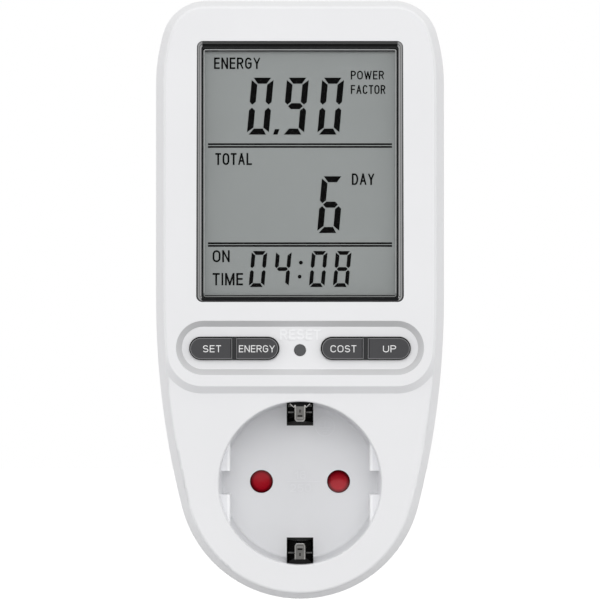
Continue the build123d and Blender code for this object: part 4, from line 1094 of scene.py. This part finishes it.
class MONITOR_OT_socket(bpy.types.Operator):
    """Finish the recess, the red shutter, the contacts and the earth clips"""

    bl_idname = "monitor.socket"
    bl_label = "Socket"

    def execute(self, context):
        dress({"white_socket", "red_shutter", "spring_steel", "bronze_contact", "nickel_clip"})
        # Painted highlight: bright nickel strips on the clip's edges
        nickel = metal("Worn clip edge", tuple(context.scene.monitor_metal.nickel), 0.35)
        add_piece(self.clip_edges(), "case", nickel)
        # Painted shade: dark sheets behind both pockets
        dark = moulded("Slot screen", grey(0.006), 0.6, 0.0003, gleam=0.1)
        add_piece(self.slot_shades(), "case", dark)
        # Painted shade: the clip's nickel made dark on its wings
        dull = metal("Clip wing", (0.09, 0.09, 0.088), 0.5)
        add_piece(self.clip_wings(), "case", dull)
        return {"FINISHED"}

    def clip_edges(self):
        """Folded edges beside the root of the upper clip's tongue, on the clip's slope, as bright strips of
        painted highlight.
        """
        points, faces, foot = [], [], 0.04

        def on_clip(outline, side, lift):
            return [
                (side * x * MM, CLIP_FACE - (z * MM - CLIP_Z) * CLIP_RISE - lift * MM, z * MM)
                for x, z in outline
            ]

        for side in (-1, 1):
            for rise, outline in CLIP_EDGES:
                add_prism(points, faces, on_clip(outline, side, rise), on_clip(outline, side, foot))
        return mesh_of("upper_clip_edges", points, faces)

    def slot_shades(self):
        """Dark sheets of painted shade behind both pockets, where the strips leave their slots partly open.
        """
        width, height, face, thickness = 6.6 * MM, 9.8 * MM, -20.4 * MM, 0.1 * MM
        screens = [rectangle(-width / 2, base * MM, width, height) for base in (13.6, -23.4)]
        return prisms("earth_slot_shades", screens, face, thickness)

    def clip_wings(self):
        """Small bars on both sides of each tongue, and corners over the upper one, in the dark metal of
        painted shade.
        """
        width, height, face, thickness = 1.45 * MM, 0.34 * MM, -50.0 * MM, 0.1 * MM
        corner = ((2.95, 18.55), (2.05, 18.55), (2.85, 19.25))
        places = ((-2.95, 17.05), (-2.95, -17.39), (1.5, 17.05), (1.5, -17.39))
        wings = [rectangle(left * MM, base * MM, width, height) for left, base in places]
        wings += [[(side * x * MM, z * MM) for x, z in corner] for side in (-1, 1)]
        return prisms("clip_wings", wings, face, thickness)


class MONITOR_OT_plug(bpy.types.Operator):
    """Finish the plug's pins and earth strips"""

    bl_idname = "monitor.plug"
    bl_label = "Plug"

    def execute(self, context):
        dress({"nickel_pin", "nickel_strip"})
        return {"FINISHED"}


class MONITOR_OT_inside(bpy.types.Operator):
    """Finish the boards, their parts and the leads"""

    bl_idname = "monitor.inside"
    bl_label = "Boards and leads"

    def execute(self, context):
        dress({"green_board", "grey_elastomer", "black_switch", "grey_cable", "brown_lead", "blue_lead"})
        dress({"yellow_capacitor", "aluminium_can", "blue_varistor"})
        dress({"brown_resistor", "black_diode", "green_battery"})
        return {"FINISHED"}


class MONITOR_OT_display(bpy.types.Operator):
    """Finish the window and the display's glass"""

    bl_idname = "monitor.display"
    bl_label = "Display"

    def execute(self, context):
        dress({"clear_lens", "lcd_glass"})
        return {"FINISHED"}


# The display is laid out in millimetres from this corner, across and down
DISPLAY_LEFT, DISPLAY_TOP = -23.69, 105.68

# Rows of digits: each digit and how far across it starts; how far down the row stands, and
# the width and height of a digit
DIGIT_ROWS = (
    ("large_digits", (("0", 10.7), ("9", 19.3), ("0", 27.9)), 20.54, 5.35, 13.9),
    ("day_digit", (("6", 27.85),), 44.58, 5.35, 13.87),
    ("clock_digits", (("0", 11.15), ("4", 17.1), ("0", 25.85), ("8", 31.7)), 57.77, 3.8, 8.79),
)

# Words: how far across and down each stands, and its width and height
DISPLAY_WORDS = (
    ("ENERGY", 2.69, 4.52, 11.31, 2.81),
    ("POWER", 36.10, 7.08, 8.11, 2.13),
    ("FACTOR", 36.10, 10.63, 8.45, 2.2),
    ("TOTAL", 3.0, 27.97, 8.96, 2.93),
    ("DAY", 36.35, 32.85, 5.5, 2.83),
    ("ON", 2.34, 51.71, 4.18, 2.93),
    ("TIME", 2.34, 57.35, 7.43, 3.0),
)

# Rules: how far across and down each starts; their width and height
RULE_PLACES = ((1.22, 23.1), (1.22, 23.77), (1.22, 47.3), (1.22, 47.94))
RULE_SIZE = (44.95 * MM, 0.44 * MM)


def on_display(across, down):
    """X and z of a place on the display."""
    return (DISPLAY_LEFT + across) * MM, (DISPLAY_TOP - down) * MM


class MONITOR_OT_readout(bpy.types.Operator):
    """Draw the digits, the rules and the words that the display shows"""

    bl_idname = "monitor.readout"
    bl_label = "Readout"

    def execute(self, context):
        low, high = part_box("lcd_glass")
        width, height = high.x - low.x - 2 * EDGE, high.z - low.z - 2 * EDGE
        sheet = [rectangle(low.x + EDGE, low.z + EDGE, width, height)]
        film = prisms("display_film", sheet, low.y - PROUD - INK_THICKNESS, INK_THICKNESS)
        add_piece(film, "case", finishes()["lcd_glass"]())

        shown = context.scene.monitor_display
        fine = {"depth": 0.000002, "strength": 0.05, "shift": 0.05, "gleam": 0.02}
        ink = moulded("Display ink", tuple(shown.ink), 0.5, 0.0003, **fine)
        front = low.y - 2 * (PROUD + INK_THICKNESS)
        marks = {"large_digits": [self.comma(math.tan(shown.slant))], "clock_digits": self.colon()}
        for name, digits, down, width, height in DIGIT_ROWS:
            outlines = []
            for digit, across in digits:
                outlines += digit_outlines(digit, *on_display(across, down), width * MM, height * MM)
            outlines += marks.get(name, [])
            add_piece(prisms(name, outlines, front, INK_THICKNESS), "case", ink)

        rules = [rectangle(*on_display(*place), *RULE_SIZE) for place in RULE_PLACES]
        add_piece(prisms("display_rules", rules, front, INK_THICKNESS), "case", ink)
        for word, across, down, width, height in DISPLAY_WORDS:
            box = (DISPLAY_LEFT + across, DISPLAY_TOP - down, width, height)
            mesh = words_mesh(f"display_word_{word.lower()}", word, box, front, INK_THICKNESS)
            add_piece(mesh, "case", ink)
        return {"FINISHED"}

    def comma(self, lean):
        """The comma of the large number; it leans more than the digits."""
        width, height = 1.1 * MM, 1.35 * MM
        return rectangle(*on_display(17.1, 20.54), width, height, 4 * lean)

    def colon(self):
        """The two dots of the clock."""
        radius = 0.47 * MM
        return [disc(*on_display(*place), radius) for place in ((23.91, 51.81), (23.60, 55.23))]


# Keys: where each starts beside its divider and ends, across, in millimetres; its word, and
# where that starts and its width
KEYS = (
    ("set", -16.23, -27.0, "SET", -23.7, 4.45),
    ("energy", -15.73, -5.06, "ENERGY", -14.9, 8.75),
    ("cost", 15.73, 5.06, "COST", 7.44, 6.32),
    ("up", 16.23, 27.0, "UP", 20.24, 3.22),
)

# Foot and height of the keys' words in millimetres, and their stroke as a share of the height
LABEL_BASE, LABEL_HEIGHT, LABEL_WEIGHT = 31.99, 1.71, 0.12


class MONITOR_OT_keys(bpy.types.Operator):
    """Finish the keys and print their words"""

    bl_idname = "monitor.keys"
    bl_label = "Keys"

    def execute(self, context):
        keys = context.scene.monitor_keys
        dress({"dark_key", "grey_key"})
        # Painted shade: the dividers are the keys' grey made darker
        divider = moulded(
            "Key divider", tuple(keys.divider), 0.5, 0.0002, strength=0.3, shift=0.05, gleam=0.2
        )
        for place in NODES["key_dividers"].material_slots:
            place.material = divider
        # Painted highlight: a lighter line along each key's edge
        rim = moulded("Key rim", (0.15, 0.15, 0.155), 0.4, 0.0002)
        # Painted soft shade: the seats are the case's white made a little darker
        seat = moulded("Key seat", varied(tuple(context.scene.monitor_case.white), -0.1), 0.5, 0.0003)
        paint = moulded("Label paint", tuple(keys.label), 0.5, 0.0003, depth=0.000003, strength=0.1)
        for name, inner, outer, _, _, _ in KEYS:
            add_piece(self.rim(name, inner * MM, outer * MM), f"{name}_button", rim)
        for mesh in self.seats():
            add_piece(mesh, "case", seat)
        for name, _, _, word, left, width in KEYS:
            box, front = (left, LABEL_BASE, width, LABEL_HEIGHT), self.print_face(name)
            mesh = words_mesh(f"{name}_key_label", word, box, front, INK_THICKNESS, LABEL_WEIGHT)
            add_piece(mesh, f"{name}_button", paint)
        return {"FINISHED"}

    def print_face(self, name):
        """The y of what is printed on a key."""
        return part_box(f"{name}_key")[0].y - PROUD - INK_THICKNESS

    def rim(self, name, inner, outer):
        """A thin lighter line along the edge of a key's face, as a painted highlight."""
        front, drop, thickness = self.print_face(name), 0.05 * MM, 0.1 * MM
        back, shift = front + INK_THICKNESS + thickness, math.copysign(drop, outer)
        row_z = KEY_ROW_Z - drop
        wide, narrow = (
            [(x + shift, z) for x, z in half_capsule(inner, outer, row_z, KEY_HALF_HEIGHT, inset)]
            for inset in (0.28 * MM, 0.44 * MM)
        )
        return loops_mesh(f"{name}_key_rim", [(wide, back), (wide, front), (narrow, front), (narrow, back)])

    def seats(self):
        """White lines on the dish's floor round the two pairs of keys and the reset pin, a little darker as
        painted soft shade.
        """
        face, gap, line = DISH_FLOOR - INK_THICKNESS, 0.03 * MM, 0.24 * MM
        pair_x, pair_half = 16.03 * MM, 10.975 * MM
        for side, name in ((-1, "left_key_seat"), (1, "right_key_seat")):
            near, far = (
                rounded(
                    pair_half + grow,
                    KEY_HALF_HEIGHT + grow,
                    KEY_HALF_HEIGHT + grow,
                    side * pair_x,
                    KEY_ROW_Z,
                    16,
                )
                for grow in (gap, gap + line)
            )
            yield flat_ring(name, near, far, face)
        near, far = (disc(0.0, RESET_Z, radius, 40) for radius in (1.46 * MM, 1.66 * MM))
        yield flat_ring("reset_seat", near, far, face)


# Raised marks: left, foot, width and height of the word, of each number and of the line
# between the numbers, in millimetres
RESET_WORD = (-4.88, 35.03, 9.88, 2.49)
SOCKET_NUMBERS = (("16", (-1.23, 0.62, 2.71, 1.97)), ("250", (-2.46, -2.59, 5.17, 1.97)))
NUMBER_LINE = (-3.08, -0.15, 8.0, 0.28)
MARK_RISE = 0.15 * MM


class MONITOR_OT_marks(bpy.types.Operator):
    """Raise the word over the reset pin and the marks on the socket's floor"""

    bl_idname = "monitor.marks"
    bl_label = "Raised marks"

    def execute(self, context):
        case = context.scene.monitor_case
        # Painted light: the marks are the whites of their mouldings made lighter
        pale, dim = varied(tuple(case.white), 0.07), varied(tuple(case.socket_white), 0.05)
        white = moulded("Raised marks", pale, 0.6, case.grain, strength=0.05)
        recess = moulded("Recess marks", dim, 0.6, case.grain, strength=0.05)
        face, weight = DISH_FLOOR - MARK_RISE, 0.16
        word = words_mesh("reset_word", "RESET", RESET_WORD, face, MARK_RISE, weight)
        add_piece(word, "case", white)

        face = RECESS_FLOOR - MARK_RISE
        floor_marks = [
            words_mesh(f"socket_number_{number}", number, box, face, MARK_RISE)
            for number, box in SOCKET_NUMBERS
        ]
        line = rectangle(*(side * MM for side in NUMBER_LINE))
        floor_marks.append(prisms("socket_number_line", [line], face, MARK_RISE))
        floor_marks.append(prisms("earth_mark", self.earth_outlines(), face, MARK_RISE))
        for mesh in floor_marks:
            add_piece(mesh, "case", recess)
        return {"FINISHED"}

    def earth_outlines(self):
        """The earth sign in a circle: an upright and three bars that get shorter."""
        centre_x, centre_z, radius, line, sides = 6.16 * MM, 13.56 * MM, 2.46 * MM, 0.26 * MM, 48
        drop, pitch, upright = 0.2 * MM, 0.6 * MM, 1.7 * MM
        outer = disc(centre_x, centre_z, radius, sides)
        inner = disc(centre_x, centre_z, radius - line, sides)
        shapes = [[outer[i], outer[i + 1 - sides], inner[i + 1 - sides], inner[i]] for i in range(sides)]
        shapes.append(rectangle(centre_x - line / 2, centre_z - drop, line, upright))
        for step, half in enumerate((1.35 * MM, 0.9 * MM, 0.45 * MM)):
            shapes.append(rectangle(centre_x - half, centre_z - drop - pitch * step - line, 2 * half, line))
        return shapes


class MONITOR_OT_fasteners(bpy.types.Operator):
    """Finish the screws and give the case screws their cross recesses as flat crosses of painted shade"""

    bl_idname = "monitor.fasteners"
    bl_label = "Screws"

    def execute(self, context):
        dress({"zinc_screw"})
        # Painted shade: dark metal crosses stand for the recesses
        shade = metal("Screw recess", (0.09, 0.09, 0.095), 0.5, 1500.0)
        low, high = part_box("case_screws")
        head, arm, half, upper_x, lower_x = 2.4 * MM, 1.25 * MM, 0.22 * MM, 24.2 * MM, 26.0 * MM
        rows = ((upper_x, high.z - head), (lower_x, low.z + head))
        crosses = [cross_outline(side * x, z, arm, half) for x, z in rows for side in (1, -1)]
        mesh = prisms("screw_recesses", crosses, high.y - INK_THICKNESS / 2, INK_THICKNESS)
        add_piece(mesh, "case", shade)
        return {"FINISHED"}


# Where each softbox stands and the length of its side, and what they face
FRONT_SOFTBOX = ((0.0, -2.4, 0.6), 1.8)
LEFT_SOFTBOX = ((-1.7, -0.7, 0.25), 1.0)
RIGHT_SOFTBOX = ((1.7, -0.7, 0.25), 1.0)
MIDDLE = Vector((0.0, 0.0, 0.045))


class MONITOR_OT_stage(bpy.types.Operator):
    """Set the floor, the light and the camera"""

    bl_idname = "monitor.stage"
    bl_label = "Stage"

    def execute(self, context):
        scene = context.scene
        stage = scene.monitor_stage
        scene.view_settings.view_transform = "Standard"

        self.add(self.floor(stage.clearance, tuple(stage.floor)), (0.0, 0.0, 0.0))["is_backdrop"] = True
        self.light("front_softbox", stage.front_power, *FRONT_SOFTBOX)
        self.light("left_softbox", stage.side_power, *LEFT_SOFTBOX)
        self.light("right_softbox", stage.side_power, *RIGHT_SOFTBOX)
        scene.world = self.world(stage.sky, stage.ground)

        data = bpy.data.cameras.new("camera")
        data.sensor_width = 36.0
        data.lens = stage.lens
        data.clip_start = 0.05
        data.clip_end = 20.0
        scene.camera = self.add(data, (0.0, -stage.distance, stage.height))
        scene.camera.rotation_euler = (math.pi / 2, 0.0, 0.0)
        return {"FINISHED"}

    def add(self, data, place):
        """Put a floor, a light or a camera into the scene."""
        made = bpy.data.objects.new(data.name, data)
        made.location = place
        bpy.context.scene.collection.objects.link(made)
        return made

    def floor(self, clearance, colour):
        """A square floor below the object."""
        half, lowest = 3.0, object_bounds()[0].z - clearance
        sides = ((-1, -1), (1, -1), (1, 1), (-1, 1))
        corners = [(half * side_x, half * side_y, lowest) for side_x, side_y in sides]
        mesh = mesh_of("floor", corners, [(0, 1, 2, 3)])
        mesh.materials.append(self.floor_material(colour))
        return mesh

    def light(self, name, power, place, size):
        """A square softbox that faces the object's middle."""
        data = bpy.data.lights.new(name, "AREA")
        data.energy = power
        data.size = size
        lamp = self.add(data, place)
        lamp.rotation_euler = (MIDDLE - lamp.location).to_track_quat("-Z", "Y").to_euler()

    def background(self, tree, given, seen, output):
        """Show one shader to the camera, to gloss and through glass, and give light by the other."""
        rays = node_of(tree, "ShaderNodeLightPath").outputs
        shown = math_node(tree, "MAXIMUM", rays["Is Camera Ray"], rays["Is Transmission Ray"])
        shown = math_node(tree, "MAXIMUM", shown, rays["Is Glossy Ray"])
        sides = {0: shown, 1: given.outputs[0], 2: seen.outputs[0]}
        mix = node_of(tree, "ShaderNodeMixShader", None, sides)
        node_of(tree, output, None, {"Surface": mix.outputs[0]})

    def floor_material(self, colour):
        """Pale floor: white to the camera but for the object's shadow."""
        material = bpy.data.materials.new("Pale floor")
        material.use_nodes = True
        tree = material.node_tree
        tree.nodes.clear()
        cloud = noise(tree, place_of(tree), {"Scale": 6.0, "Detail": 2.0})
        shade = mixed(tree, cloud, varied(colour, -0.01), varied(colour, 0.01))
        given = node_of(tree, "ShaderNodeBsdfDiffuse", None, {"Color": shade})
        pale = node_of(tree, "ShaderNodeBsdfDiffuse", {"Color": (*grey(0.9), 1.0)})
        glow = node_of(tree, "ShaderNodeEmission", {"Color": WHITE, "Strength": 0.35})
        seen = node_of(tree, "ShaderNodeAddShader", None, {0: pale.outputs[0], 1: glow.outputs[0]})
        self.background(tree, given, seen, "ShaderNodeOutputMaterial")
        return material

    def world(self, sky, ground):
        """White to the camera and to gloss, soft light from all round and less from below."""
        world = bpy.data.worlds.new("Studio")
        world.use_nodes = True
        tree = world.node_tree
        tree.nodes.clear()
        direction = node_of(tree, "ShaderNodeTexCoord").outputs["Generated"]
        upward = node_of(tree, "ShaderNodeSeparateXYZ", None, {"Vector": direction}).outputs["Z"]
        level = ramp(tree, upward, {"From Min": -0.6, "From Max": 0.1, "To Min": ground, "To Max": sky})
        soft = node_of(tree, "ShaderNodeBackground", {"Color": WHITE}, {"Strength": level})
        white = node_of(tree, "ShaderNodeBackground", {"Color": WHITE, "Strength": 1.0})
        self.background(tree, soft, white, "ShaderNodeOutputWorld")
        return world


OPERATORS = (
    MONITOR_OT_case,
    MONITOR_OT_socket,
    MONITOR_OT_plug,
    MONITOR_OT_inside,
    MONITOR_OT_display,
    MONITOR_OT_readout,
    MONITOR_OT_keys,
    MONITOR_OT_marks,
    MONITOR_OT_fasteners,
    MONITOR_OT_stage,
)
SETTINGS = {
    "monitor_case": CaseSettings,
    "monitor_display": DisplaySettings,
    "monitor_keys": KeySettings,
    "monitor_metal": MetalSettings,
    "monitor_stage": StageSettings,
}


class MONITOR_PT_looks(bpy.types.Panel):
    """Steps and settings of the energy monitor's looks"""

    bl_idname = "MONITOR_PT_looks"
    bl_label = "Energy monitor"
    bl_space_type = "VIEW_3D"
    bl_region_type = "UI"
    bl_category = "Energy monitor"

    def draw(self, context):
        for operator in OPERATORS:
            self.layout.operator(operator.bl_idname)
        for name in SETTINGS:
            group = getattr(context.scene, name)
            box = self.layout.box()
            for key in group.__annotations__:
                box.prop(group, key)


def register():
    """Register the settings, the operators and the panel."""
    for name, group in SETTINGS.items():
        bpy.utils.register_class(group)
        setattr(bpy.types.Scene, name, PointerProperty(type=group))
    for operator in OPERATORS:
        bpy.utils.register_class(operator)
    bpy.utils.register_class(MONITOR_PT_looks)


def unregister():
    """Take the classes and settings out again."""
    bpy.utils.unregister_class(MONITOR_PT_looks)
    for operator in reversed(OPERATORS):
        bpy.utils.unregister_class(operator)
    for name, group in reversed(SETTINGS.items()):
        delattr(bpy.types.Scene, name)
        bpy.utils.unregister_class(group)


def main():
    """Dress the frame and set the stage."""
    register()
    bpy.ops.monitor.case()
    bpy.ops.monitor.socket()
    bpy.ops.monitor.plug()
    bpy.ops.monitor.inside()
    bpy.ops.monitor.display()
    bpy.ops.monitor.readout()
    bpy.ops.monitor.keys()
    bpy.ops.monitor.marks()
    bpy.ops.monitor.fasteners()
    bpy.ops.monitor.stage()


if __name__ == "__main__":
    main()
